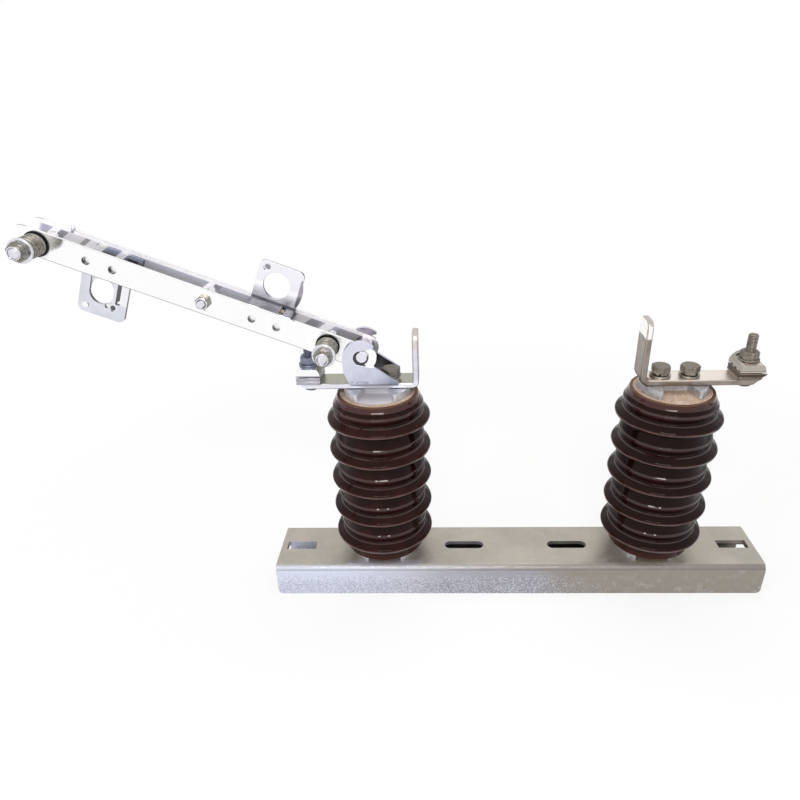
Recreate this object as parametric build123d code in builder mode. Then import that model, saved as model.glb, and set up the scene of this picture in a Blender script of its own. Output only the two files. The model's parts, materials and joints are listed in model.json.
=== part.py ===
"""Single-pole substation disconnect switch, blade shown open.

Two porcelain post insulators stand on a steel channel.  A twin-bar blade turns on a pin in the
hooked bracket of the hinge insulator and closes over the upturned tab of the jaw insulator.

Millimetres, +Z up.  The origin is the middle of the channel's upper face, +X runs from the hinge
insulator to the jaw insulator, and -Y is the front.
"""

import os
from math import cos, radians, sin, tan

from build123d import *

os.makedirs("parts", exist_ok=True)

# ---------------------------------------------------------------- driving sizes
# fits
seat_clearance = 0.1  # round piece in its seat or thread
bolt_hole_clearance = 0.5  # bolt in a drilled hole, on the radius
slide_clearance = 0.3  # faces that slide past each other

# base channel, open downwards
base_length = 450
base_width = 64
base_height = 32
base_wall = 5
base_bend_radius = 7
flange_corner_radius = 4
mounting_slot_length = 37
mounting_slot_width = 10.5
mounting_slot_offset = 49
end_slot_length = 28
end_slot_width = 11
end_slot_from_end = 19.5

# porcelain posts
insulator_spacing = 248
porcelain_bottom = 11
porcelain_length = 154
shed_count = 5
shed_pitch = 29.1
first_shed_height = 15.1  # above the porcelain's lower end
shed_radius = 46.8  # before its edge is rounded
shed_edge_rounding = 2.6
ridge_radius = 39.6  # before its edge is rounded
ridge_above_shed = 13.6
ridge_rounding = 1.8
groove_radius = 36.3
groove_from_shed = 6.4
groove_rounding = 1.6
collar_radius = 36.2  # at the porcelain's upper end
collar_height = 5
mouth_radius = 32
mouth_lip = 2.4
recess_depth = 30

# iron inserts cemented into both ends of a post
insert_radius = 28
insert_bed = 1
valley_width = 20.4  # between the two lobes, at the waist that joins them
valley_mouth_width = 34.6  # and at the porcelain's mouth
valley_depth = 3
waist_width = 11.4
lobe_corner_radius = 1.5
top_lobe_height = 6.5
bolt_offset = 12  # of each bolt from the axis of its post

# hexagon bolts M8
bolt_radius = 4
bolt_head_across_flats = 14
bolt_head_height = 5.5
bolt_reach = 15  # length of thread in an insert
bolt_end_gap = 2  # left in the hole below the bolt
washer_radius = 8.6
flat_washer_height = 1.8
bracket_washer_height = 1.2
spring_washer_height = 2.2
spring_washer_radius = 6.9
stud_radius = 4
nut_across_flats = 13
nut_height = 6.5
nut_flange_radius = 8.6
nut_flange_height = 1.6

# terminal bars
bar_width = 22
bar_thickness = 5
hinge_bend_radius = 6
hinge_inner_bend_radius = 1
jaw_bend_radius = 8.5
jaw_inner_bend_radius = 3.5
hinge_end_bevel = 3
jaw_end_bevel = 4.5
hinge_bar_overhang = 62  # free end of the hinge bar beyond the axis of its post
jaw_bar_overhang = 65
hinge_tab_offset = 35.7  # outer face of the tab from the axis of its post
jaw_tab_offset = 31
hinge_tab_height = 42.3
jaw_tab_height = 50.5
tab_corner_radius = 7
tab_edge_bevel = 0.9

# hinge bracket
bracket_thickness = 3
bracket_left = 9.5  # lower corners of an ear, from the pivot
bracket_right = 29.3
ear_back = 15
ear_back_drop = 11.6
ear_nose_radius = 14.6
ear_front_above_bend = 0.3
hook_tip_angle = 43  # of the hook's tip above the horizontal
hook_back_angle = 130  # where its round top ends
hook_upper_angle = 12  # the slot opens upwards by this
hook_lower_angle = 10  # and downwards by this
hook_lip_drop = 8.4

# blade
pivot_from_post = 10.4
pivot_height = 25  # above the terminal bar
pivot_radius = 6
pivot_collar_radius = 8.5
pivot_end_bevel = 0.8
open_angle = 158.4  # of the blade from its closed position
blade_width = 20
blade_thickness = 3
blade_heel = 12.5
blade_reach = 277

# contact springs on the two clamping bolts of the blade
heel_bolt_position = 28
tip_bolt_from_tip = 21
spring_radius = 8.6
spring_wire_radius = 1.5
spring_turns = 4.6
spring_length = 19
spring_plate_height = 1.6
spring_plate_radius = 9.7
cup_radius = 9.3
cup_height = 2.1
lock_nut_height = 5.5
lock_collar_radius = 5.6
lock_collar_height = 2.7
stud_tail = 1  # beyond a lock nut
stud_head_height = 5.3

# middle bolt
middle_bolt_position = 129
middle_bolt_radius = 3
middle_nut_across_flats = 10
middle_nut_height = 4
middle_collar_radius = 4.6
middle_collar_height = 2
middle_spacer_radius = 5.5
middle_tail = 2.5

# hook-stick rings, folded from sheet and riveted between the bars
ring_sheet = 3
ring_width = 36.6
ring_height = 42  # outer edge from the middle of the blade
ring_flange = 17
ring_corner_radius = 5
ring_dimple_radius = 2.4
ring_dimple_height = 1.2
ring_dimple_inset = 6
ring_rivet_spacing = 20
ring_rivet_radius = 3.2
closing_ring_position = 80.5
closing_hole_radius = 11
closing_hole_offset = 1
closing_hole_height = 24.5
closing_ring_bulge = 2
closing_bulge_start = 12
closing_bulge_end = 32
closing_slot_offset = 9.8  # of the slot in the web, towards the pivot
closing_slot_width = 3.5
closing_slot_length = 16
pull_ring_from_tip = 73
pull_rivet_offset = 5.5
pull_hole_width = 18.3
pull_hole_length = 20.8
pull_hole_offset = 2
pull_hole_height = 21.4
pull_recess_depth = 1.5
pull_tongue_width = 2.3  # between the hole and the window
pull_tongue_depth = 6
pull_window_width = 3.7
pull_window_end = 28
pull_pin_hole_radius = 1.7
pull_pin_hole_offset = 5.6
pull_pin_hole_height = 32

# terminal clamps
hinge_clamp_from_end = 6.3  # of the stud from the free end of its bar
jaw_clamp_from_end = 7
clamp_length = 20
clamp_width = 26
clamp_lower_height = 6
hinge_clamp_overhang = 0  # of the lower jaw beyond the upper one
jaw_clamp_overhang = 2
clamp_end_slope = 5.5
clamp_groove = 1
clamp_gap = 1
clamp_side_height = 1.5  # of the upper jaw below its arch
clamp_upper_height = 10
clamp_seat_height = 6.5
clamp_seat_back = 9.2  # of the flat seat behind the stud
clamp_tooth_width = 2.2
clamp_tooth_depth = 1.6
clamp_tooth_pitch = 7.6
clamp_tooth_offset = 2.1  # of the middle tooth groove in front of the stud
clamp_stud_top = 35.5  # above the terminal bar
clamp_head_radius = 7.7
clamp_head_height = 4.5
clamp_head_rounding = 2.5

# ---------------------------------------------------------------- derived places
porcelain_top = porcelain_bottom + porcelain_length
bar_bottom = porcelain_top + top_lobe_height
bar_top = bar_bottom + bar_thickness
pivot_x = -insulator_spacing / 2 - pivot_from_post
pivot_z = bar_top + pivot_height
seat_radius = pivot_radius + seat_clearance
hinge_bar_reach = insulator_spacing / 2 + hinge_bar_overhang
jaw_bar_reach = insulator_spacing / 2 + jaw_bar_overhang
hinge_clamp_offset = hinge_bar_reach - hinge_clamp_from_end
jaw_clamp_offset = jaw_bar_reach - jaw_clamp_from_end
blade_inner = bar_width / 2 + slide_clearance
blade_outer = blade_inner + blade_thickness
ear_inner = blade_outer + slide_clearance
ear_outer = ear_inner + bracket_thickness
ear_front_height = bracket_thickness + ear_front_above_bend
spring_bolt_positions = {"heel": heel_bolt_position, "tip": blade_reach - tip_bolt_from_tip}
pull_ring_position = blade_reach - pull_ring_from_tip
rivet_middles = (closing_ring_position, pull_ring_position + pull_rivet_offset)
rivet_positions = [
    middle + side * ring_rivet_spacing / 2 for middle in rivet_middles for side in (-1, 1)
]

blade_plane = Plane(
    origin=(pivot_x, 0, pivot_z),
    x_dir=(cos(radians(open_angle)), 0, sin(radians(open_angle))),
    z_dir=(0, 1, 0),
)
ear_plane = Plane(origin=(pivot_x, 0, pivot_z), x_dir=(1, 0, 0), z_dir=(0, -1, 0))


def save(part, name):
    """Label a finished piece and write it."""
    part.label = name
    export_step(part, f"parts/{name}.step")


# ---------------------------------------------------------------- base channel
with BuildPart() as base_channel:
    with BuildSketch(Plane.YZ.offset(-base_length / 2)) as section:
        with BuildLine():
            half = base_width / 2
            Polyline(
                (-half, -base_height),
                (-half, 0),
                (half, 0),
                (half, -base_height),
                (half - base_wall, -base_height),
                (half - base_wall, -base_wall),
                (base_wall - half, -base_wall),
                (base_wall - half, -base_height),
                close=True,
            )
        make_face()
        fillet(section.vertices().group_by(Axis.Y)[-1], base_bend_radius)
        inner_corners = section.vertices().filter_by_position(Axis.Y, -base_wall, -base_wall)
        fillet(inner_corners, base_bend_radius - base_wall)
    extrude(amount=base_length)
    flange_ends = base_channel.edges().filter_by(Axis.Y).group_by(Axis.Z)[0]
    fillet(flange_ends, flange_corner_radius)
    with BuildSketch(Plane.XY):
        with Locations((-mounting_slot_offset, 0), (mounting_slot_offset, 0)):
            SlotOverall(mounting_slot_length, mounting_slot_width)
        with Locations((end_slot_from_end - base_length / 2, 0), (base_length / 2 - end_slot_from_end, 0)):
            Rectangle(end_slot_length, end_slot_width)
    extrude(amount=-base_wall, mode=Mode.SUBTRACT)
    with Locations((-insulator_spacing / 2, 0, 0), (insulator_spacing / 2, 0, 0)):
        with Locations((-bolt_offset, 0, 0), (bolt_offset, 0, 0)):
            Hole(bolt_radius + bolt_hole_clearance, base_wall)
save(base_channel.part, "base_channel")


# ---------------------------------------------------------------- porcelain posts
def shed_outline():
    """Corners and rounding radii of the wavy outside of a post, from its foot to its top."""
    corners = [(groove_radius, porcelain_bottom)]
    rounding = []
    for shed in range(shed_count):
        middle = porcelain_bottom + first_shed_height + shed * shed_pitch
        corners.append((groove_radius, middle - groove_from_shed))
        corners.append((shed_radius, middle))
        corners.append((groove_radius, middle + groove_from_shed))
        corners.append((ridge_radius, middle + ridge_above_shed))
        rounding.extend([groove_rounding, shed_edge_rounding, groove_rounding, ridge_rounding])
    corners.append((collar_radius, porcelain_top - collar_height))
    rounding.append(groove_rounding)
    corners.append((mouth_radius + mouth_lip, porcelain_top))
    return corners, rounding


def cut_valley(side, inset):
    """One of the two valleys between the lobes, each of its sides moved in by the inset."""
    middle = valley_width / 2 - inset
    rim = valley_mouth_width / 2 - inset
    wall = side * (waist_width / 2 + inset)
    end = side * mouth_radius
    corners = [(-middle, wall), (-rim, end), (rim, end), (middle, wall)]
    Polygon(*corners, align=None, mode=Mode.SUBTRACT)


outline_corners, outline_rounding = shed_outline()
for side_name, side in (("hinge", -1), ("jaw", 1)):
    axis_x = side * insulator_spacing / 2
    with BuildPart() as porcelain:
        with BuildSketch(Plane(origin=(axis_x, 0, 0), x_dir=(1, 0, 0), z_dir=(0, -1, 0))):
            with BuildLine():
                FilletPolyline(*outline_corners, radius=outline_rounding)
                Polyline(
                    outline_corners[-1],
                    (mouth_radius, porcelain_top),
                    (mouth_radius, porcelain_top - recess_depth),
                    (0, porcelain_top - recess_depth),
                    (0, porcelain_bottom + recess_depth),
                    (mouth_radius, porcelain_bottom + recess_depth),
                    (mouth_radius, porcelain_bottom),
                    outline_corners[0],
                )
            make_face()
        revolve(axis=Axis((axis_x, 0, 0), (0, 0, 1)))
    save(porcelain.part, f"{side_name}_porcelain")

    # inserts and the cement that holds them, both ends
    for end_name, mouth_z, outward, lobe_height in (
        ("bottom", porcelain_bottom, -1, porcelain_bottom),
        ("top", porcelain_top, 1, top_lobe_height),
    ):
        mouth = Plane(origin=(axis_x, 0, mouth_z), x_dir=(1, 0, 0), z_dir=(0, 0, outward))
        with BuildPart() as insert:
            with BuildSketch(mouth.offset(insert_bed - recess_depth)):
                Circle(insert_radius)
            extrude(amount=recess_depth - insert_bed - valley_depth)
            with BuildSketch(mouth.offset(-valley_depth)) as lobes:
                Circle(insert_radius)
                for valley_side in (-1, 1):
                    cut_valley(valley_side, 0)
                fillet(lobes.vertices(), lobe_corner_radius)
            extrude(amount=valley_depth + lobe_height)
            with Locations(mouth.offset(lobe_height)):
                with Locations((-bolt_offset, 0), (bolt_offset, 0)):
                    Hole(bolt_radius + seat_clearance, bolt_reach + bolt_end_gap)
        save(insert.part, f"{side_name}_{end_name}_insert")

        with BuildPart() as cement:
            with BuildSketch(mouth.offset(-recess_depth)):
                Circle(mouth_radius - seat_clearance)
            extrude(amount=recess_depth)
            with BuildSketch(mouth.offset(insert_bed - recess_depth)):
                Circle(insert_radius + seat_clearance)
            extrude(amount=recess_depth - insert_bed - valley_depth, mode=Mode.SUBTRACT)
            with BuildSketch(mouth.offset(-valley_depth)):
                Circle(insert_radius + seat_clearance)
                for valley_side in (-1, 1):
                    cut_valley(valley_side, seat_clearance)
            extrude(amount=valley_depth, mode=Mode.SUBTRACT)
        save(cement.part, f"{side_name}_{end_name}_cement")

    # bolts that hold the post on the channel, heads below the web
    under_web = Plane(origin=(axis_x, 0, -base_wall), x_dir=(1, 0, 0), z_dir=(0, 0, -1))
    with BuildPart() as base_bolts:
        for bolt_x in (-bolt_offset, bolt_offset):
            with BuildSketch(under_web):
                with Locations((bolt_x, 0)):
                    Circle(washer_radius)
            extrude(amount=flat_washer_height)
            with BuildSketch(under_web.offset(flat_washer_height)):
                with Locations((bolt_x, 0)):
                    RegularPolygon(bolt_head_across_flats / 2, 6, major_radius=False)
            extrude(amount=bolt_head_height)
            with BuildSketch(under_web):
                with Locations((bolt_x, 0)):
                    Circle(bolt_radius)
            extrude(amount=-base_wall - bolt_reach)
    save(base_bolts.part, f"{side_name}_base_bolts")

# ---------------------------------------------------------------- terminal bars
hinge_ends = (hinge_bar_reach, hinge_end_bevel, hinge_clamp_offset)
hinge_tab = (hinge_tab_offset, hinge_tab_height, hinge_bend_radius, hinge_inner_bend_radius)
jaw_ends = (jaw_bar_reach, jaw_end_bevel, jaw_clamp_offset)
jaw_tab = (jaw_tab_offset, jaw_tab_height, jaw_bend_radius, jaw_inner_bend_radius)
for side_name, side, ends, tab in (("hinge", -1, hinge_ends, hinge_tab), ("jaw", 1, jaw_ends, jaw_tab)):
    reach, end_bevel, clamp_offset = ends
    tab_offset, tab_height, bend_radius, inner_bend_radius = tab
    axis_x = side * insulator_spacing / 2
    tab_outer = axis_x - side * tab_offset
    tab_inner = tab_outer + side * bar_thickness
    tab_top = bar_top + tab_height
    with BuildPart() as terminal_bar:
        with BuildSketch(Plane.XZ.offset(-bar_width / 2)) as profile:
            with BuildLine():
                Polyline(
                    (side * reach, bar_bottom),
                    (tab_outer, bar_bottom),
                    (tab_outer, tab_top),
                    (tab_inner, tab_top),
                    (tab_inner, bar_top),
                    (side * reach, bar_top),
                    close=True,
                )
            make_face()
            outer_bend = profile.vertices().sort_by_distance((tab_outer, bar_bottom))[0]
            fillet(outer_bend, bend_radius)
            inner_bend = profile.vertices().sort_by_distance((tab_inner, bar_top))[0]
            fillet(inner_bend, inner_bend_radius)
        extrude(amount=bar_width)
        free_end = terminal_bar.edges().filter_by(Axis.Y).sort_by_distance((side * reach, 0, bar_bottom))
        chamfer(free_end[0], end_bevel)
        fillet(terminal_bar.edges().filter_by(Axis.X).group_by(Axis.Z)[-1], tab_corner_radius)
        tab_sides = terminal_bar.edges().filter_by(Axis.Z).sort_by(SortBy.LENGTH)[-4:]
        chamfer(tab_sides, tab_edge_bevel)
        with Locations((axis_x - bolt_offset, 0, bar_top), (axis_x + bolt_offset, 0, bar_top)):
            Hole(bolt_radius + bolt_hole_clearance, bar_thickness)
        with Locations((side * clamp_offset, 0, bar_top)):
            Hole(stud_radius + bolt_hole_clearance, bar_thickness)
    save(terminal_bar.part, f"{side_name}_terminal_bar")

# ---------------------------------------------------------------- bolts through the bars
# under the heads: plain and spring washers on the jaw bar, thin washers on the hinge bracket
jaw_stack = (
    (washer_radius, flat_washer_height),
    (spring_washer_radius, spring_washer_height),
)
for side_name, side, stack_start, stack, head_turns in (
    ("hinge", -1, bar_top + bracket_thickness, ((washer_radius, bracket_washer_height),), (30, 20)),
    ("jaw", 1, bar_top, jaw_stack, (24, 40)),
):
    axis_x = side * insulator_spacing / 2
    head_base = stack_start + sum(height for radius, height in stack)
    bolt_places = ((axis_x - bolt_offset, head_turns[0]), (axis_x + bolt_offset, head_turns[1]))
    with BuildPart() as bar_washers:
        for bolt_x, turn in bolt_places:
            level = stack_start
            for radius, height in stack:
                with BuildSketch(Plane.XY.offset(level)):
                    with Locations((bolt_x, 0)):
                        Circle(radius)
                        Circle(bolt_radius + seat_clearance, mode=Mode.SUBTRACT)
                extrude(amount=height)
                level += height
    save(bar_washers.part, f"{side_name}_bar_washers")

    with BuildPart() as bar_bolts:
        for bolt_x, turn in bolt_places:
            with BuildSketch(Plane.XY.offset(head_base)):
                with Locations((bolt_x, 0)):
                    RegularPolygon(bolt_head_across_flats / 2, 6, major_radius=False, rotation=turn)
            extrude(amount=bolt_head_height)
            with BuildSketch(Plane.XY.offset(head_base)):
                with Locations((bolt_x, 0)):
                    Circle(bolt_radius)
            extrude(amount=bar_bottom - bolt_reach - head_base)
    save(bar_bolts.part, f"{side_name}_bar_bolts")

# ---------------------------------------------------------------- hinge bracket
ear_foot = bar_top - pivot_z
mouth_reach = 2 * ear_nose_radius


def mouth_edge(angle, side):
    """Both ends of the slot's edge that leaves the round seat at a tangent, at this angle."""
    touch = (-seat_radius * sin(radians(angle)), side * seat_radius * cos(radians(angle)))
    rise = seat_radius / cos(radians(angle)) + mouth_reach * tan(radians(angle))
    return [touch, (mouth_reach, side * rise)]


with BuildPart() as hinge_bracket:
    with BuildSketch(Plane.XY.offset(bar_top)):
        with Locations((pivot_x + (bracket_right - bracket_left) / 2, 0)):
            Rectangle(bracket_right + bracket_left, 2 * ear_outer)
    extrude(amount=bracket_thickness)
    with BuildSketch(ear_plane.offset(-ear_outer)):
        with BuildLine():
            tip_x = ear_nose_radius * cos(radians(hook_tip_angle))
            nose_turn = hook_back_angle - hook_tip_angle
            nose = CenterArc((0, 0), ear_nose_radius, hook_tip_angle, nose_turn)
            back = Line((-ear_back, 0), (-ear_back, -ear_back_drop))
            TangentArc(nose @ 1, back @ 0, tangent=nose % 1)
            Polyline(
                back @ 1,
                (-bracket_left, ear_foot),
                (bracket_right, ear_foot),
                (bracket_right, ear_foot + ear_front_height),
                (tip_x, -hook_lip_drop),
                nose @ 0,
            )
        make_face()
        Circle(seat_radius, mode=Mode.SUBTRACT)
        upper_edge = mouth_edge(hook_upper_angle, 1)
        lower_edge = mouth_edge(hook_lower_angle, -1)
        Polygon(*upper_edge, *reversed(lower_edge), align=None, mode=Mode.SUBTRACT)
    extrude(amount=bracket_thickness)
    mirror(about=Plane.XZ)
    bend_edges = hinge_bracket.edges().filter_by(Axis.X).group_by(Axis.Z)[0]
    fillet(bend_edges, bracket_thickness)
    with Locations(
        (-insulator_spacing / 2 - bolt_offset, 0, bar_top + bracket_thickness),
        (-insulator_spacing / 2 + bolt_offset, 0, bar_top + bracket_thickness),
    ):
        Hole(bolt_radius + bolt_hole_clearance, bracket_thickness)
save(hinge_bracket.part, "hinge_bracket")

# ---------------------------------------------------------------- blade bars
for bar_name, level in (("front", -blade_outer), ("back", blade_inner)):
    with BuildPart() as blade_bar:
        with BuildSketch(blade_plane.offset(level)):
            with Locations(((blade_reach - blade_heel) / 2, 0)):
                SlotOverall(blade_reach + blade_heel, blade_width)
            Circle(seat_radius, mode=Mode.SUBTRACT)
            with Locations(*[(position, 0) for position in spring_bolt_positions.values()]):
                Circle(stud_radius + seat_clearance, mode=Mode.SUBTRACT)
            with Locations((middle_bolt_position, 0)):
                Circle(middle_bolt_radius + seat_clearance, mode=Mode.SUBTRACT)
            with Locations(*[(position, 0) for position in rivet_positions]):
                Circle(ring_rivet_radius, mode=Mode.SUBTRACT)
        extrude(amount=blade_thickness)
    save(blade_bar.part, f"{bar_name}_blade_bar")

# ---------------------------------------------------------------- pivot pin with its collar
with BuildPart() as pivot_pin:
    with BuildSketch(blade_plane.offset(-ear_outer)):
        Circle(pivot_radius)
    extrude(amount=2 * ear_outer)
    pin_ends = pivot_pin.faces().filter_by(Axis.Y)
    chamfer(pin_ends.edges(), pivot_end_bevel)
    with BuildSketch(blade_plane.offset(-blade_inner)):
        Circle(pivot_collar_radius)
    extrude(amount=2 * blade_inner)
save(pivot_pin.part, "pivot_pin")

# ---------------------------------------------------------------- spring bolts
plate_face = -blade_outer - spring_plate_height
spring_end = plate_face - spring_length
cup_face = spring_end - cup_height
lock_nut_face = cup_face - lock_nut_height
collar_face = lock_nut_face - lock_collar_height
for bolt_name, position in spring_bolt_positions.items():
    with BuildPart() as spring_bolt:
        with BuildSketch(blade_plane.offset(collar_face - stud_tail)):
            with Locations((position, 0)):
                Circle(stud_radius)
        extrude(amount=blade_outer - collar_face + stud_tail)
        with BuildSketch(blade_plane.offset(blade_outer)):
            with Locations((position, 0)):
                RegularPolygon(nut_across_flats / 2, 6, major_radius=False)
        extrude(amount=stud_head_height)
    save(spring_bolt.part, f"{bolt_name}_spring_bolt")

    coil_radius = spring_radius - spring_wire_radius
    coil_base = blade_plane.offset(spring_end).from_local_coords((position, 0, 0))
    with BuildPart() as spring:
        with BuildLine():
            coil = Helix(
                pitch=spring_length / spring_turns,
                height=spring_length,
                radius=coil_radius,
                center=coil_base,
                direction=blade_plane.z_dir,
            )
        with BuildSketch(coil ^ 0):
            Circle(spring_wire_radius)
        sweep(path=coil, is_frenet=True)
        with BuildSketch(blade_plane.offset(spring_end + seat_clearance)):
            with Locations((position, 0)):
                Circle(2 * spring_radius)
        extrude(amount=spring_length - 2 * seat_clearance, mode=Mode.INTERSECT)
    save(spring.part, f"{bolt_name}_spring")

    with BuildPart() as spring_washers:
        for level, radius, height in (
            (plate_face, spring_plate_radius, spring_plate_height),
            (cup_face, cup_radius, cup_height),
        ):
            with BuildSketch(blade_plane.offset(level)):
                with Locations((position, 0)):
                    Circle(radius)
                    Circle(stud_radius + seat_clearance, mode=Mode.SUBTRACT)
            extrude(amount=height)
    save(spring_washers.part, f"{bolt_name}_spring_washers")

    with BuildPart() as spring_nut:
        with BuildSketch(blade_plane.offset(cup_face)):
            with Locations((position, 0)):
                RegularPolygon(nut_across_flats / 2, 6, major_radius=False)
                Circle(stud_radius + seat_clearance, mode=Mode.SUBTRACT)
        extrude(amount=-lock_nut_height)
        with BuildSketch(blade_plane.offset(lock_nut_face)):
            with Locations((position, 0)):
                Circle(lock_collar_radius)
                Circle(stud_radius + seat_clearance, mode=Mode.SUBTRACT)
        extrude(amount=-lock_collar_height)
    save(spring_nut.part, f"{bolt_name}_spring_nut")

# ---------------------------------------------------------------- middle bolt and spacer
middle_nut_face = -blade_outer - middle_nut_height
middle_end = middle_nut_face - middle_collar_height - middle_tail
with BuildPart() as middle_bolt:
    with BuildSketch(blade_plane.offset(middle_end)):
        with Locations((middle_bolt_position, 0)):
            Circle(middle_bolt_radius)
    extrude(amount=blade_outer - middle_end)
    with BuildSketch(blade_plane.offset(blade_outer)):
        with Locations((middle_bolt_position, 0)):
            RegularPolygon(middle_nut_across_flats / 2, 6, major_radius=False)
    extrude(amount=middle_nut_height)
save(middle_bolt.part, "middle_bolt")

with BuildPart() as middle_nut:
    with BuildSketch(blade_plane.offset(-blade_outer)):
        with Locations((middle_bolt_position, 0)):
            RegularPolygon(middle_nut_across_flats / 2, 6, major_radius=False)
            Circle(middle_bolt_radius + seat_clearance, mode=Mode.SUBTRACT)
    extrude(amount=-middle_nut_height)
    with BuildSketch(blade_plane.offset(middle_nut_face)):
        with Locations((middle_bolt_position, 0)):
            Circle(middle_collar_radius)
            Circle(middle_bolt_radius + seat_clearance, mode=Mode.SUBTRACT)
    extrude(amount=-middle_collar_height)
save(middle_nut.part, "middle_nut")

with BuildPart() as middle_spacer:
    with BuildSketch(blade_plane.offset(-blade_inner)):
        with Locations((middle_bolt_position, 0)):
            Circle(middle_spacer_radius)
            Circle(middle_bolt_radius + seat_clearance, mode=Mode.SUBTRACT)
    extrude(amount=2 * blade_inner)
save(middle_spacer.part, "middle_spacer")

# ---------------------------------------------------------------- hook-stick rings
# each is one sheet: a web flush with the bars' edges, a flange against each bar, and on one of
# the flanges the ring plate
ring_edge = blade_width / 2
half_ring = ring_width / 2
flange_end = ring_edge - ring_flange
with BuildPart() as closing_ring:
    hinge_edge = closing_ring_position - half_ring
    far_edge = closing_ring_position + half_ring
    with BuildSketch(blade_plane.offset(blade_inner)) as closing_plate:
        with BuildLine():
            straight_edges = Polyline(
                (hinge_edge, closing_bulge_end),
                (hinge_edge, ring_height),
                (far_edge, ring_height),
                (far_edge, flange_end),
                (hinge_edge, flange_end),
                (hinge_edge, closing_bulge_start),
            )
            bulge_middle = (closing_bulge_start + closing_bulge_end) / 2
            bulge_point = (hinge_edge - closing_ring_bulge, bulge_middle)
            ThreePointArc(straight_edges @ 1, bulge_point, straight_edges @ 0)
        make_face()
        fillet(closing_plate.vertices().group_by(Axis.Y)[-1], ring_corner_radius)
        with Locations((closing_ring_position + closing_hole_offset, closing_hole_height)):
            Circle(closing_hole_radius, mode=Mode.SUBTRACT)
    extrude(amount=-ring_sheet)
    with BuildSketch(blade_plane.offset(-blade_inner)):
        with Locations((closing_ring_position, ring_edge - ring_flange / 2)):
            Rectangle(ring_width, ring_flange)
    extrude(amount=ring_sheet)
    with BuildSketch(blade_plane.offset(-blade_inner)):
        with Locations((closing_ring_position, ring_edge - ring_sheet / 2)):
            Rectangle(ring_width, ring_sheet)
    extrude(amount=2 * blade_inner)
    with BuildSketch(blade_plane.offset(-closing_slot_length / 2)):
        with Locations((closing_ring_position - closing_slot_offset, ring_edge)):
            Rectangle(closing_slot_width, 2 * ring_sheet)
    extrude(amount=closing_slot_length, mode=Mode.SUBTRACT)
    with BuildSketch(blade_plane.offset(blade_inner - ring_sheet)):
        with Locations((far_edge - ring_dimple_inset, ring_height - ring_dimple_inset)):
            Circle(ring_dimple_radius)
    extrude(amount=ring_dimple_height, mode=Mode.SUBTRACT)
save(closing_ring.part, "closing_ring")

with BuildPart() as pull_ring:
    hinge_edge = pull_ring_position - half_ring
    tip_edge = pull_ring_position + half_ring
    hole_middle = pull_ring_position + pull_hole_offset
    hole_edge = hole_middle - pull_hole_width / 2
    tongue_edge = hole_edge - pull_tongue_width
    with BuildSketch(blade_plane.offset(-blade_inner)) as pull_plate:
        with Locations((pull_ring_position, -(ring_height + flange_end) / 2)):
            Rectangle(ring_width, ring_height - flange_end)
        fillet(pull_plate.vertices().group_by(Axis.Y)[0], ring_corner_radius)
        with Locations((hole_middle, -pull_hole_height)):
            SlotOverall(pull_hole_length, pull_hole_width, rotation=90, mode=Mode.SUBTRACT)
        with Locations((tongue_edge - pull_window_width / 2, -(ring_edge + pull_window_end) / 2)):
            Rectangle(pull_window_width, pull_window_end - ring_edge, mode=Mode.SUBTRACT)
        with Locations((hole_middle - pull_pin_hole_offset, -pull_pin_hole_height)):
            Circle(pull_pin_hole_radius, mode=Mode.SUBTRACT)
    extrude(amount=ring_sheet)
    with BuildSketch(blade_plane.offset(-blade_inner)):
        with Locations((hole_middle, -(ring_edge + pull_hole_height) / 2)):
            Rectangle(pull_hole_width, pull_hole_height - ring_edge)
    extrude(amount=pull_recess_depth, mode=Mode.SUBTRACT)
    with BuildSketch(blade_plane.offset(ring_sheet - blade_inner)):
        with Locations((tongue_edge + pull_tongue_width / 2, -(ring_edge + pull_window_end) / 2)):
            Rectangle(pull_tongue_width, pull_window_end - ring_edge)
    extrude(amount=pull_tongue_depth)
    with BuildSketch(blade_plane.offset(blade_inner)):
        with Locations((pull_ring_position, ring_flange / 2 - ring_edge)):
            Rectangle(ring_width, ring_flange)
    extrude(amount=-ring_sheet)
    with BuildSketch(blade_plane.offset(-blade_inner)):
        with Locations((pull_ring_position, ring_sheet / 2 - ring_edge)):
            Rectangle(ring_width, ring_sheet)
    extrude(amount=2 * blade_inner)
    with BuildSketch(blade_plane.offset(-blade_inner)):
        with Locations((tip_edge - ring_dimple_inset, ring_dimple_inset - ring_height)):
            Circle(ring_dimple_radius)
    extrude(amount=-ring_dimple_height)
save(pull_ring.part, "pull_ring")

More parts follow.
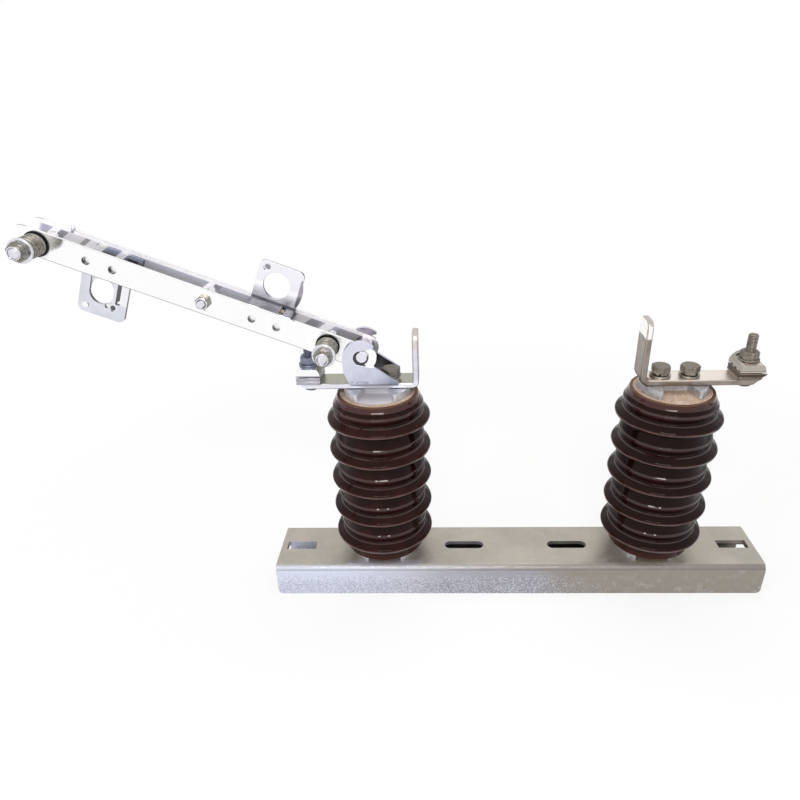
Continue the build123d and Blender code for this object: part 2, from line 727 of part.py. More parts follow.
# ---------------------------------------------------------------- terminal clamps
upper_level = bar_top + clamp_lower_height + clamp_gap
nut_level = upper_level + clamp_seat_height
for side_name, side, clamp_offset, overhang, end_slope in (
    ("hinge", -1, hinge_clamp_offset, hinge_clamp_overhang, 0),
    ("jaw", 1, jaw_clamp_offset, jaw_clamp_overhang, clamp_end_slope),
):
    clamp_x = side * clamp_offset
    with BuildPart() as lower_jaw:
        with BuildSketch(Plane.XZ.offset(-clamp_width / 2)):
            near_end = clamp_x - side * clamp_length / 2
            far_end = clamp_x + side * (clamp_length / 2 + overhang)
            level = bar_top + clamp_lower_height
            Polygon(
                (near_end, bar_top),
                (far_end - side * end_slope, bar_top),
                (far_end, level),
                (near_end, level),
                align=None,
            )
        extrude(amount=clamp_width)
        with BuildSketch(Plane.XY.offset(bar_top + (clamp_lower_height - clamp_groove) / 2)):
            with Locations((clamp_x, 0)):
                Rectangle(clamp_length, 2 * clamp_width)
                Rectangle(3 * clamp_length, clamp_width - 2 * clamp_groove, mode=Mode.SUBTRACT)
        extrude(amount=clamp_groove, mode=Mode.SUBTRACT)
        with Locations((clamp_x, 0, level)):
            Hole(stud_radius + seat_clearance, clamp_lower_height)
    save(lower_jaw.part, f"{side_name}_clamp_lower_jaw")

    with BuildPart() as upper_jaw:
        with BuildSketch(Plane.XZ.offset(-clamp_width / 2)):
            with BuildLine():
                left = clamp_x - clamp_length / 2
                right = clamp_x + clamp_length / 2
                shoulder = upper_level + clamp_side_height
                Polyline((left, shoulder), (left, upper_level), (right, upper_level), (right, shoulder))
                ThreePointArc(
                    (right, shoulder), (clamp_x, upper_level + clamp_upper_height), (left, shoulder)
                )
            make_face()
        extrude(amount=clamp_width)
        with BuildSketch(Plane.XY.offset(nut_level)):
            with Locations((clamp_x, (clamp_seat_back - clamp_width / 2) / 2)):
                Rectangle(clamp_length, clamp_seat_back + clamp_width / 2)
        extrude(amount=clamp_upper_height, mode=Mode.SUBTRACT)
        with BuildSketch(Plane.XY.offset(upper_level)):
            with Locations((clamp_x, -clamp_tooth_offset)):
                with GridLocations(0, clamp_tooth_pitch, 1, 3):
                    Rectangle(clamp_length, clamp_tooth_width)
        extrude(amount=clamp_tooth_depth, mode=Mode.SUBTRACT)
        with Locations((clamp_x, 0, nut_level)):
            Hole(stud_radius + seat_clearance, clamp_seat_height)
    save(upper_jaw.part, f"{side_name}_clamp_upper_jaw")

    with BuildPart() as clamp_bolt:
        with BuildSketch(Plane.XY.offset(bar_bottom)):
            with Locations((clamp_x, 0)):
                Circle(clamp_head_radius)
        extrude(amount=-clamp_head_height)
        fillet(clamp_bolt.edges().sort_by(Axis.Z)[0], clamp_head_rounding)
        with BuildSketch(Plane.XY.offset(bar_bottom)):
            with Locations((clamp_x, 0)):
                Circle(stud_radius)
        extrude(amount=bar_thickness + clamp_stud_top)
    save(clamp_bolt.part, f"{side_name}_clamp_bolt")

    with BuildPart() as clamp_nut:
        with BuildSketch(Plane.XY.offset(nut_level)):
            with Locations((clamp_x, 0)):
                Circle(nut_flange_radius)
                Circle(stud_radius + seat_clearance, mode=Mode.SUBTRACT)
        extrude(amount=nut_flange_height)
        with BuildSketch(Plane.XY.offset(nut_level)):
            with Locations((clamp_x, 0)):
                RegularPolygon(nut_across_flats / 2, 6, major_radius=False, rotation=30)
                Circle(stud_radius + seat_clearance, mode=Mode.SUBTRACT)
        extrude(amount=nut_flange_height + nut_height)
    save(clamp_nut.part, f"{side_name}_clamp_nut")
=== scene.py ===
# %% [markdown]
# # A single-pole disconnect switch, lying open
#
# Two brown porcelain posts stand on a zinc-coated channel and carry two terminal bars. A blade of
# two polished strips hangs open in a hooked bracket. The solids come from the packed part and give
# the true sizes. This file adds what solids leave out: the finishes, soft edges, threads and bolt
# heads. Everything is in metres, and +X runs from the hinge post to the jaw post.
# %% Load the packed switch
import json

import bmesh
import bpy
import numpy as np
from mathutils import Matrix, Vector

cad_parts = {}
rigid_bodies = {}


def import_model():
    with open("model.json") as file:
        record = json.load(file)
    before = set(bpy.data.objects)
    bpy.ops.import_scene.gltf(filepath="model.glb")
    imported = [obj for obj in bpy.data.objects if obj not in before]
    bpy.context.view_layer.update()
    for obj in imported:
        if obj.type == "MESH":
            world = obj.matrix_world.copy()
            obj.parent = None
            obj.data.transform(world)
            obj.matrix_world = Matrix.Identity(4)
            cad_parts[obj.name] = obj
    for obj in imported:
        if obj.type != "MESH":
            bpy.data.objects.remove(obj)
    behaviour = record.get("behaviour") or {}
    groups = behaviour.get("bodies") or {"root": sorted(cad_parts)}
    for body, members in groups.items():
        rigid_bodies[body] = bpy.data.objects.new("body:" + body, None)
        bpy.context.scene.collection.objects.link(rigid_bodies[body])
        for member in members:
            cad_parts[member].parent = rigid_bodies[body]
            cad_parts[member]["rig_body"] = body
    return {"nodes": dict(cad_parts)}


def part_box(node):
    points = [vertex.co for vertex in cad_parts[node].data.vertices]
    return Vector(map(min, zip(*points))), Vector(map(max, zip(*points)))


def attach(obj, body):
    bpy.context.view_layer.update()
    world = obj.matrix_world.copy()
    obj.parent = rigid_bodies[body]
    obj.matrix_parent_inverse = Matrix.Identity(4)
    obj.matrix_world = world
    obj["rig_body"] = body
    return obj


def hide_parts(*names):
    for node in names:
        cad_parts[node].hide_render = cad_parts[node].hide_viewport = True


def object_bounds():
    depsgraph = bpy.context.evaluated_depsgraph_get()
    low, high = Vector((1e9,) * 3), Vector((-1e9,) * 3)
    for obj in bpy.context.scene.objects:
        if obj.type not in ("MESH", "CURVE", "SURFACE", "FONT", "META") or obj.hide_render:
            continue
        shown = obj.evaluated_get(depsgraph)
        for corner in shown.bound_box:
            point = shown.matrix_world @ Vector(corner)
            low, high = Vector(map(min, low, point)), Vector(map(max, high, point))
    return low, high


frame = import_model()
solid_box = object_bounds()
print("solids:", len(frame["nodes"]))
# %% [markdown]
# ## Where the eye is
#
# The viewer stands a little left of the middle, half a metre in front and well above the channel,
# and looks down at it. A camera is fully described by its place, three angles and its lens, so a
# helper turns those into the camera's axes. Setting the axes directly is clearer than aiming a
# camera at a target, because the slight roll and the shifted lens stay visible as plain numbers.
# %% Camera
MM = 0.001
scene = bpy.context.scene


def added(name, data):
    """A new object in the scene that shows some data."""
    made = bpy.data.objects.new(name, data)
    scene.collection.objects.link(made)
    return made


def turned(thing, right, up, back, place):
    """Sets a thing's three axes and its place."""
    whole = np.eye(4)
    whole[:3] = np.column_stack([right, up, back, place])
    thing.matrix_world = Matrix(whole.tolist())
    return thing


def look_from(place, yaw, pitch, roll, focal, shift):
    """A camera at a place, turned from +Y by yaw, tipped down by pitch, then rolled; degrees."""
    y, p, r = np.radians([yaw, pitch, roll])
    ahead = np.array([np.sin(y) * np.cos(p), np.cos(y) * np.cos(p), -np.sin(p)])
    level = np.array([np.cos(y), -np.sin(y), 0.0])
    upright = np.cross(level, ahead)
    right = np.cos(r) * level + np.sin(r) * upright
    up = np.cos(r) * upright - np.sin(r) * level
    lens = bpy.data.cameras.new("bench_camera")
    lens.lens, lens.sensor_width = focal, 36
    lens.shift_x, lens.shift_y = shift
    lens.clip_start, lens.clip_end = 0.01, 200
    scene.camera = turned(added("bench_camera", lens), right, up, -ahead, place)
    return scene.camera


camera = look_from(
    (-0.07093, -0.50680, 0.40451), -1.7640, 27.6765, -1.2753, 29.7139, (-0.02784, 0.02195)
)
print("camera at", [round(c, 3) for c in camera.matrix_world.translation])
# %% [markdown]
# ## Sums between nodes
#
# A finish is a small network of nodes. Written one node at a time it is hard to read, so an output
# socket is wrapped in a class that understands + - * /. A line such as `1 - mask * 0.5` then adds
# the Math nodes itself. Colours never pass through these sums, because a Math node turns a colour
# grey; they go through Mix nodes.
# %% Socket sums
class Flow:
    """One output socket of a node. A sum on it adds a Math node and gives that node's output."""

    def __init__(self, network, socket):
        self.network, self.socket = network, socket

    def sum(self, operation, first, second):
        return self.network.node("ShaderNodeMath", {"operation": operation}, {0: first, 1: second})

    def __add__(self, other):
        return self.sum("ADD", self, other)

    def __radd__(self, other):
        return self.sum("ADD", other, self)

    def __sub__(self, other):
        return self.sum("SUBTRACT", self, other)

    def __rsub__(self, other):
        return self.sum("SUBTRACT", other, self)

    def __mul__(self, other):
        return self.sum("MULTIPLY", self, other)

    def __rmul__(self, other):
        return self.sum("MULTIPLY", other, self)

    def __truediv__(self, other):
        return self.sum("DIVIDE", self, other)

    def __abs__(self):
        return self.sum("ABSOLUTE", self, 0.0)

    def between(self, low, high):
        """0 below low, 1 above high, and a smooth step in between."""
        settings = {"interpolation_type": "SMOOTHSTEP"}
        return self.network.node("ShaderNodeMapRange", settings, {0: self, 1: low, 2: high})

    def within(self, low, high, soft):
        """1 from low to high, fading to 0 over a soft margin outside them."""
        return self.between(low - soft, low) * (1 - self.between(high, high + soft))


print("besides sums, a socket has", [name for name in vars(Flow) if "__" not in name])
# %% [markdown]
# The same node is added in the same way everywhere: its kind, its settings, then what its sockets
# hold. One method does that for every kind.
# %% Networks of nodes
class Network:
    """The nodes round one shader, and one method that adds any node to them."""

    def __init__(self, tree, shader):
        self.tree, self.shader = tree, tree.nodes[shader]

    def set(self, values, node=None):
        """Gives sockets their numbers, or links them where the value is an output of a node."""
        node = node or self.shader
        for key, value in values.items():
            if isinstance(value, Flow):
                self.tree.links.new(value.socket, node.inputs[key])
            else:
                node.inputs[key].default_value = value

    def node(self, kind, settings, values, output=0):
        """Adds a node of a kind: its settings first, then what its sockets hold."""
        node = self.tree.nodes.new(kind)
        for key, value in settings.items():
            setattr(node, key, value)
        self.set(values, node)
        return Flow(self, node.outputs[output])

    def parts(self, vector):
        """The x, y and z of a vector, one number each."""
        first = self.node("ShaderNodeSeparateXYZ", {}, {0: vector})
        return [Flow(self, output) for output in first.socket.node.outputs]


print("a network can", [name for name in vars(Network) if "__" not in name])
# %% [markdown]
# ## Finishes
#
# A finish is a material: one all-round shader with a network in front of it. Its patterns read the
# object's own coordinates, so they stay on the metal when the blade swings. Most of the colour here
# is laid on in coats, as a painter would: `paint` puts a tone over what is there, as far as a mask
# between 0 and 1 says.
# %% Finishes
def tint(red, green, blue):
    """A colour from a paint card, 0 to 255, as the shader's own straight numbers and full cover."""
    c = np.array([red, green, blue]) / 255
    return (*np.where(c <= 0.04045, c / 12.92, ((c + 0.055) / 1.055) ** 2.4).tolist(), 1)


class Finish(Network):
    """A material with one surface shader. Its colours are read off a paint card, 0 to 255, and its
    lengths are in millimetres."""

    def __init__(self, name, colour, metallic, roughness, **constants):
        self.material = bpy.data.materials.new(name)
        self.material.use_nodes = True
        super().__init__(self.material.node_tree, "Principled BSDF")
        self.plain = colour
        self.set({"Base Color": tint(*colour), "Metallic": metallic, "Roughness": roughness})
        self.set({key.replace("_", " "): value for key, value in constants.items()})

    def place(self, stretch=(1, 1, 1)):
        """The object's own coordinates in metres, stretched along each axis."""
        here = self.node("ShaderNodeTexCoord", {}, {}, "Object")
        return self.node("ShaderNodeMapping", {}, {"Vector": here, "Scale": stretch})

    def axes(self):
        """The x, y and z of the object's own coordinates, one number each."""
        return self.parts(self.place((1 / MM, 1 / MM, 1 / MM)))

    def facing(self, axis):
        """How far the surface faces along x, y or z (0, 1 or 2), from -1 to 1."""
        return self.parts(self.node("ShaderNodeNewGeometry", {}, {}, "True Normal"))[axis]

    def noise(self, size, detail=3, rough=0.55, stretch=(1, 1, 1)):
        """Cloudy noise from 0 to 1 in patches of about a size."""
        values = {"Vector": self.place(stretch), "Scale": 1 / (size * MM), "Detail": detail}
        return self.node("ShaderNodeTexNoise", {}, values | {"Roughness": rough}, 0)

    def cells(self, size, output="Distance"):
        """A pattern of grains of about a size."""
        values = {"Vector": self.place(), "Scale": 1 / (size * MM)}
        return self.node("ShaderNodeTexVoronoi", {}, values, output)

    def mix(self, amount, under, over):
        """A colour that goes from under to over with the amount."""
        ends = [c if isinstance(c, Flow) else tint(*c) for c in (under, over)]
        values = {0: amount, 6: ends[0], 7: ends[1]}
        return self.node("ShaderNodeMix", {"data_type": "RGBA"}, values, 2)

    def paint(self, amount, colour):
        """Lays a colour over the present base colour, as much as the amount says."""
        links = self.shader.inputs["Base Color"].links
        under = Flow(self, links[0].from_socket) if links else self.plain
        self.set({"Base Color": self.mix(amount, under, colour)})

    def bump(self, height, depth, strength=1.0):
        """Small relief: the height, 0 to 1, stands for a depth."""
        values = {"Height": height, "Distance": depth * MM, "Strength": strength}
        self.set({"Normal": self.node("ShaderNodeBump", {}, values)})


def tell(finish):
    """Prints how large a finish is."""
    print(finish.material.name, "has", len(finish.tree.nodes), "nodes")


print("black paint is", tint(20, 20, 20))
# %% [markdown]
# ## The room
#
# Plain soft studio light: a pale floor, a white surround, one wide lamp overhead, a cool one from
# the left and one by the viewer. A fourth, the glint, shows only in shiny surfaces, where it draws
# the thin bright lines along the glazed sheds. Floor and surround show white to the eye and to
# metal, while their own light on the object stays at a plain level. Near the object the floor keeps
# part of its own shading, so the shadow stays, and under the channel it keeps all of it.
# %% Floor
scene.view_settings.view_transform = "Standard"


def rays(network, *kinds):
    """1 for rays of the named kinds, 0 for all others."""
    outputs = network.node("ShaderNodeLightPath", {}, {}).socket.node.outputs
    first, *others = [Flow(network, outputs[f"Is {kind} Ray"]) for kind in kinds]
    return sum(others, first).between(0.0, 1.0)


LOOKING = ("Camera", "Glossy", "Transmission")
MIRRORED = ("Glossy",)

pale_floor = Finish("pale_floor", (231, 231, 231), 0.0, 1.0)
pale_floor.set({"Base Color": (0.8, 0.8, 0.8, 1)})
fx, fy, _ = pale_floor.axes()
away = (fx * fx + fy * fy).between(1e5, 4.5e5)
under_channel = (1 - abs(fx).between(222, 225)) * (1 - abs(fy).between(26, 29))
far_side = fy.between(40, 160) * (1 - fy.between(380, 480)) * rays(pale_floor, *MIRRORED)
white = {"Color": (1, 1, 1, 1), "Strength": 1.0 - far_side * 0.83}
glow = pale_floor.node("ShaderNodeEmission", {}, white)
shown = rays(pale_floor, *LOOKING) * (0.78 + away * 0.22) * (1 - under_channel)
own = Flow(pale_floor, pale_floor.shader.outputs[0])
both = pale_floor.node("ShaderNodeMixShader", {}, {0: shown, 1: own, 2: glow})
pale_floor.set({"Surface": both}, pale_floor.tree.nodes["Material Output"])

corners = np.array([(-1, -1), (1, -1), (1, 1), (-1, 1)]) * 60.0
floor_mesh = bpy.data.meshes.new("floor")
floor_mesh.from_pydata([(x, y, solid_box[0][2]) for x, y in corners], [], [(0, 1, 2, 3)])
floor_mesh.materials.append(pale_floor.material)
floor = added("floor", floor_mesh)
print("floor at", round(solid_box[0][2] / MM, 1), "mm")
# %% [markdown]
# Glaze seen edge-on mirrors what is behind it. So for mirrored rays the low back of the surround is
# dimmer, as the far floor is, and the posts keep dark edges.
# %% Surround
world = bpy.data.worlds.new("white_room")
scene.world = world
world.use_nodes = True
room = Network(world.node_tree, "Background")
_, toward_y, toward_z = room.parts(room.node("ShaderNodeTexCoord", {}, {}, "Generated"))
low_behind = toward_y.between(0.1, 0.5) * (1 - toward_z.between(0.10, 0.30)) * rays(room, *MIRRORED)
strength = (0.5 + rays(room, *LOOKING) * 0.5) * (1 - low_behind * 0.45)
room.set({"Color": (1, 1, 1, 1), "Strength": strength})
print("the surround has", len(room.tree.nodes), "nodes")
# %% [markdown]
# Each lamp is a soft rectangle that faces a point near the switch.
# %% Lamps
def lamp(name, place, aim, size, power, colour):
    """A soft lamp of a width and height at a place, facing a point, of a power in watts."""
    light = bpy.data.lights.new(name, "AREA")
    light.shape, light.energy, light.color = "RECTANGLE", power, colour
    light.size, light.size_y = size
    back = np.array(place, float) - np.array(aim, float)
    back /= np.linalg.norm(back)
    side = np.cross((0.0, 0.01, 1.0), back)
    side /= np.linalg.norm(side)
    return turned(added(name, light), side, np.cross(back, side), back, place)


middle_height = (0, 0, 0.1)
by_viewer = (-0.1, -1.0, 1.1)
overhead = lamp("overhead", (0.1, 0.3, 1.6), middle_height, (1.2, 1.2), 14, (1.0, 0.98, 0.95))
window = lamp("left_window", (-1.3, -1.0, 0.6), (-0.1, 0, 0.1), (0.9, 0.9), 10, (0.93, 0.96, 1.0))
viewer_side = lamp("viewer_side", by_viewer, middle_height, (0.42, 0.3), 8, (1.0, 0.96, 0.95))
glint = lamp("glint", by_viewer, middle_height, (0.6, 0.5), 11, (1.0, 0.93, 0.92))
for light in (overhead, window, viewer_side):
    light.visible_glossy = False
glint.visible_diffuse = False
# %% [markdown]
# ## Zinc on the channel
#
# Hot-dipped zinc freezes in flat grains that catch the light differently, with a dull bloom, a few
# dark specks and a frosted lower edge. A picture of zinc would tile and has its own light in it, so
# the pattern is worked out: cells give every grain its own tone and gloss, and broad noise adds the
# bloom. The top is a warm grey. The front is painted light: blue-white at its left end, where a
# cool light falls, going brown and darker to the right. Painted shade darkens the rounded bend and
# the inside of the channel, and a painted reflection of the hinge post's insert lies on the top in
# front of that post.
# %% Galvanised channel
POST_X = 124
POSTS = {"hinge": -POST_X * MM, "jaw": POST_X * MM}

zinc = Finish("galvanised_channel", (178, 174, 167), 0.75, 0.5)
zx, zy, zz = zinc.axes()
front = (0 - zinc.facing(1)).between(0.3, 0.9)
depth = 0 - zz
# Painted light: 1 towards the left end, where the cool light falls, fading to 0 towards the right.
left_light_falloff = (0 - zx).between(-20, 175)
lively = (0 - zx).between(-120, 20)
grain_tone = zinc.parts(zinc.cells(5, "Color"))[0] - 0.5
fine = zinc.noise(1.6, 4)
bloom = zinc.noise(45, 4, 0.6)

# Painted light and shade on the front: brown and darker at the right, blue-white at the left, with a
# bluish middle.
front_light_tone = zinc.mix(left_light_falloff, (150, 144, 135), (214, 219, 236))
front_light_tone = zinc.mix(zx.within(-60, 10, 40) * 0.6, front_light_tone, (168, 169, 184))
top_tone = zinc.mix(bloom.between(0.3, 0.75), (170, 165, 155), (186, 179, 168))
zinc.set({"Base Color": zinc.mix(front, top_tone, front_light_tone)})

low_edge = depth.between(14, 24) * front
spangle = grain_tone * (0.08 + low_edge * 0.03)
spangle = spangle + (fine - 0.5) * (0.12 + low_edge * (0.1 + lively * 0.5))
zinc.paint((spangle * 2).between(0, 0.5), (238, 240, 246))
zinc.paint((spangle * -2).between(0, 0.6), (120, 118, 116))
specks = 1 - zinc.noise(3, 2).between(0.24, 0.29)
zinc.paint(specks * 0.55, (84, 78, 70))
zinc.paint(depth.between(12, 22) * front * lively * 0.2, (128, 128, 142))

# Painted reflection: a pale lavender patch on the top in front of the hinge post, where its insert mirrors
# in the zinc.
post_reflection = (1 - abs(zx + POST_X).between(30, 38)) * (0 - zy).between(20, 27)
zinc.paint(post_reflection * (1 - front) * 0.75, (206, 206, 222))
# Painted shade: the rounded bend at the front top edge is darker than it would mirror, and lighter towards
# the left as painted light.
bend = zinc.facing(2).within(0.30, 0.90, 0.06) * (0 - zy).between(27, 29)
bend_shade_tone = zinc.mix(left_light_falloff, (128, 124, 120), (160, 164, 172))
zinc.paint(bend * (0.75 + zx.between(-100, 100) * 0.2), bend_shade_tone)
frost = zinc.noise(1.7, 3, 0.5).between(0.38, 0.62) - 0.5
frost = frost * depth.between(6, 15) * front * lively
zinc.paint(frost.between(0.0, 0.5) * 0.34, (236, 238, 248))
zinc.paint((0 - frost).between(0.0, 0.5) * 0.26, (120, 120, 134))
# Painted shade: the inside of the channel, seen through its slots, is painted near black.
channel_inside_shade = (1 - abs(zy).between(26, 30)) * depth.between(3.4, 4)
channel_inside_shade = channel_inside_shade * zx.between(-190, -180) * (1 - zx.between(200, 210) * 0.5)
zinc.paint(channel_inside_shade, (14, 13, 14))
zinc.set({"Roughness": 0.46 + grain_tone * 0.12 + (fine - 0.5) * 0.2})
zinc.bump(fine * 0.6 + bloom * 0.4, 0.25, 0.5)
tell(zinc)
# %% [markdown]
# ## Brown glaze
#
# The posts are fired with a thick chocolate-brown glaze. It runs thin on the rims, where the clay
# warms it to red-brown, and it pools darker in the grooves. The paler rim and ridge bands are partly
# that thin glaze and partly painted highlight, for the thin lines of light along them, and the jaw
# post is painted darker as painted shade. The distance from a post's own axis says which is which,
# so one sum on x and y serves both posts. The gloss comes from a low roughness, with a second clear
# coat on the thin rims, and the faint waves of a hand-dipped glaze from a very shallow bump.
# %% Porcelain
glaze = Finish(
    "brown_glaze", (36, 15, 14), 0.0, 0.09, IOR=1.22, Specular_Tint=(1.0, 0.86, 0.8, 1),
    Coat_IOR=1.5, Coat_Roughness=0.05
)
gx, gy, gz = glaze.axes()
off_axis = abs(gx) - POST_X
cloud = glaze.noise(14, 3)
radius = glaze.node("ShaderNodeMath", {"operation": "SQRT"}, {0: off_axis * off_axis + gy * gy})
radius = radius + (cloud - 0.5) * 0.3
glaze.set({"Base Color": glaze.mix(cloud.between(0.35, 0.7), (29, 11, 10), (42, 16, 15))})
# Painted shade: the jaw post, where less light falls, is darker.
glaze.paint(gx.between(0, 10) * 0.6, (18, 7, 6))
pooled = 1 - radius.between(36.4, 37.6)
ridge = radius.within(38.0, 38.7, 0.3)
rim_glaze_and_highlight = radius.between(43.9, 44.35)
collar = gz.within(160.5, 163.5, 1)
glaze.paint(pooled * 0.6, (16, 7, 6))
# The ridge and rim bands are partly thin glaze and partly painted highlight.
glaze.paint(ridge * 0.3, (66, 34, 30))
glaze.paint(rim_glaze_and_highlight * (0.25 + cloud * 0.5), (92, 54, 46))
glaze.paint(collar * 0.4, (78, 33, 29))
glaze.paint(gz.between(163.6, 164.6) * 0.7, (104, 74, 58))
glaze.paint((1 - gz.between(15, 20)) * 0.6, (62, 27, 21))
glaze.set({"Coat Weight": (rim_glaze_and_highlight + ridge + collar * 0.7).between(0, 1) * (0.6 + cloud * 0.4)})
glaze.set({"Roughness": 0.07 + cloud.between(0.5, 0.8) * 0.06})
glaze.bump(glaze.noise(9, 1), 0.35, 0.35)
tell(glaze)
# %% [markdown]
# ## Cement
#
# A sandy cement ring holds each iron insert. It is dry and pale, with grit, pinholes and a little
# grey dust, and on the hinge post its inner part is painted light grey. Fine noise makes the sand,
# cells make the pinholes, and both also feed the bump so that the colour and the relief agree.
# %% Cement
cement = Finish("cement", (186, 164, 146), 0.0, 0.95, Specular_IOR_Level=0.2)
sand = cement.noise(0.9, 4, 0.7)
patch = cement.noise(9, 2)
pin_hole = (1 - cement.cells(5).between(0.10, 0.2)) * patch.between(0.45, 0.6)
sandy = cement.mix(sand.between(0.35, 0.7), (146, 124, 106), (194, 174, 156))
cement.set({"Base Color": sandy})
cement.paint(patch.between(0.5, 0.75) * 0.5, (198, 190, 182))
cement.paint(pin_hole * 0.7, (110, 88, 70))
cx, cy, cz = cement.axes()
from_axis = (cx + POST_X) * (cx + POST_X) + cy * cy
hinge_inner_grey = 1 - from_axis.between(26.2**2, 28**2)
on_hinge_top = (1 - cx.between(-10, 10)) * cz.between(100, 110)
cement.paint(hinge_inner_grey * on_hinge_top * 0.8, (196, 198, 204))
cement.bump(sand * 0.5 - pin_hole, 0.5, 0.7)
tell(cement)
# %% [markdown]
# ## Metals
#
# The rest is metal in several coats: tinned bars, polished strips, zinc-plated steel, dull zinc on
# the bolts and bare spring wire. They share one recipe. A tone drifts between two colours over
# patches a few millimetres across, fine streaks follow the rolling direction, and gloss and relief
# follow the same noise. A helper takes only what differs: the two colours, the gloss, how metallic
# it is, and the streaks.
# %% Plated and rolled metal
def metal(name, low, high, gloss, spread=0.12, patch=7, streak=(1, 1, 1), relief=0.06, metallic=1.0):
    """A metal finish between two tones."""
    made = Finish(name, high, metallic, gloss)
    broad = made.noise(patch, 4, 0.6)
    fine = made.noise(0.8, 3, 0.6, streak)
    tone = (broad * 0.65 + fine * 0.35).between(0.3, 0.7)
    made.set({"Base Color": made.mix(tone, low, high)})
    made.set({"Roughness": gloss + (fine - 0.5) * spread + (broad - 0.5) * spread})
    made.bump(fine * 0.7 + broad * 0.3, relief, 0.5)
    return made


print("materials so far:", len(bpy.data.materials))
# %% [markdown]
# Most metals need no more than one line. The cup heads of the clamp bolts are darker than the other
# heads, and the cast iron is whiter on the hinge side.
# %% Plain metals
dull_zinc = metal("dull_zinc", (116, 109, 102), (158, 150, 140), 0.52, 0.16, 3)
bolt_x, _, bolt_z = dull_zinc.axes()
cup_heads = bolt_z.between(100, 110) * (1 - bolt_z.between(170.5, 171.2))
dull_zinc.paint(cup_heads * 0.6, (84, 72, 60))
dull_zinc.paint((0 - bolt_x).between(0, 50) * 0.5, (118, 120, 112))
bright_zinc = metal("bright_zinc", (212, 211, 218), (238, 237, 244), 0.2, 0.12, 4, relief=0.02)
washer_zinc = metal("zinc_washer", (122, 116, 108), (172, 166, 156), 0.28, 0.15, 3, relief=0.03)
# Painted shade: the contact plates under the springs are near black, for the shade they sit in.
shaded_plate_steel = metal("shaded_contact_steel", (28, 27, 29), (58, 56, 58), 0.35, 0.12, 3, relief=0.03)
bare_wire = metal("spring_wire", (98, 95, 88), (172, 168, 158), 0.3, 0.12, 2.5, relief=0.03)
hex_zinc = metal("grey_hexagon", (84, 82, 70), (168, 166, 158), 0.3, 0.14, 2.5, relief=0.04)
# Painted shade and painted cool light: the hinge clamp's stud and nut are a dark slate blue.
shaded_blue_zinc = metal(
    "slate_shaded_zinc", (112, 117, 134), (150, 154, 172), 0.42, 0.14, 3, relief=0.08
)
cast_iron = metal(
    "cast_insert", (168, 168, 170), (214, 215, 220), 0.45, 0.2, 4, relief=0.25, metallic=0.85
)
hinge_side = (0 - cast_iron.axes()[0]).between(0, 50)
cast_iron.paint(hinge_side * (0.45 + cast_iron.noise(6) * 0.6), (226, 226, 234))
print("plain metals:", len([m for m in bpy.data.materials if m.name.endswith(("wire", "steel", "zinc"))]))
# %% [markdown]
# ## The blade's own measures
#
# The blade lies open at an angle, so a pattern on it is easier to place in its own measures than in
# x and z. Two numbers say where a point is: `along` runs from the pivot to the tip, and `over` is the
# height above the blade's middle line. They are the sum and the difference of x and z, weighted with
# the cosine and sine of the blade's angle.
# %% Measures along the blade
OPEN = np.radians(158.4)
PIVOT = (-134.4, 201.5)
HALF_GAP = 11.3


def blade_place(finish):
    """How far along the blade a point lies and how far over its middle line, and its y."""
    x, y, z = finish.axes()
    x, z = x - PIVOT[0], z - PIVOT[1]
    along = x * float(np.cos(OPEN)) + z * float(np.sin(OPEN))
    over = x * float(np.sin(OPEN)) - z * float(np.cos(OPEN))
    return along, over, y


print("the blade stands open by", round(float(np.degrees(OPEN)), 1), "degrees")
# %% [markdown]
# ## The polished strips
#
# The outer faces of the two strips mirror the white room. The faces that look at each other across
# a slot of two centimetres mirror mostly one another, so they are painted grey as painted reflection
# and made less metallic. The scene holds nothing that would throw the bands of light where the slot
# opens, so a table paints them too: from where to where along the blade, how strongly, and in which
# tone. Their ends lean, as the real ones do. The product of y and the face's y direction is positive
# on outer faces and negative on inner ones. Cut edges are painted a little darker than the faces,
# darkest where they face down, and the walls of the holes dark: painted shade.
# %% Blade
polished = metal(
    "polished_blade", (252, 252, 253), (255, 255, 255), 0.1, 0.04, 30, (0.1, 1, 1), 0.004
)
along, over, y = blade_place(polished)
inward = (0 - polished.facing(1) * y / HALF_GAP).between(0.4, 0.8)
flat = abs(polished.facing(1)).between(0.8, 0.95)
edge = 1 - flat
# Painted reflection: the inner faces are grey, with the bands of light from the table below and pale bands
# at the top edge and the tip.
shade = polished.mix(over.between(2, 7), (158, 158, 162), (178, 180, 194))
blocks = (
    (262, 266, 0.7, (158, 156, 180)), (253.5, 258, 1.0, (252, 252, 250)), (247, 252, 0.8, (128, 127, 128)),
    (234, 246, 0.7, (226, 224, 228)), (230, 233, 0.9, (150, 148, 148)), (217, 229, 0.8, (236, 234, 238)),
    (207, 213, 0.7, (128, 132, 160)), (199, 204.5, 1.0, (240, 243, 247)), (189, 197, 0.8, (112, 118, 132)),
    (131, 134.5, 1.0, (253, 252, 255)), (125, 129.5, 0.8, (122, 120, 128)), (62, 66, 0.8, (102, 101, 106)),
    (50, 60, 0.9, (206, 206, 210)), (41, 49, 0.7, (128, 126, 132)), (30, 37, 1.0, (244, 243, 246)),
    (5, 24, 0.6, (138, 135, 138)), (2, 5, 1.0, (236, 236, 238)),
)
lean = along + (over - 5) * 0.7
for start, end, weight, paint_tone in blocks:
    patch = lean.within(start, end, 1.2) * weight
    shade = polished.mix(patch, shade, paint_tone)
shade = polished.mix(over.between(6.8, 8.0), shade, (252, 250, 254))
shade = polished.mix(along.between(265, 270), shade, (252, 252, 253))
polished.paint(inward, shade)
tip_bolt, heel_bolt = along.between(236, 252), along.within(18, 40, 6)
near_bolt = (tip_bolt + heel_bolt).between(0, 1)
polished.set({"Metallic": 1 - inward * 0.85 - near_bolt * (1 - inward) * 0.5})
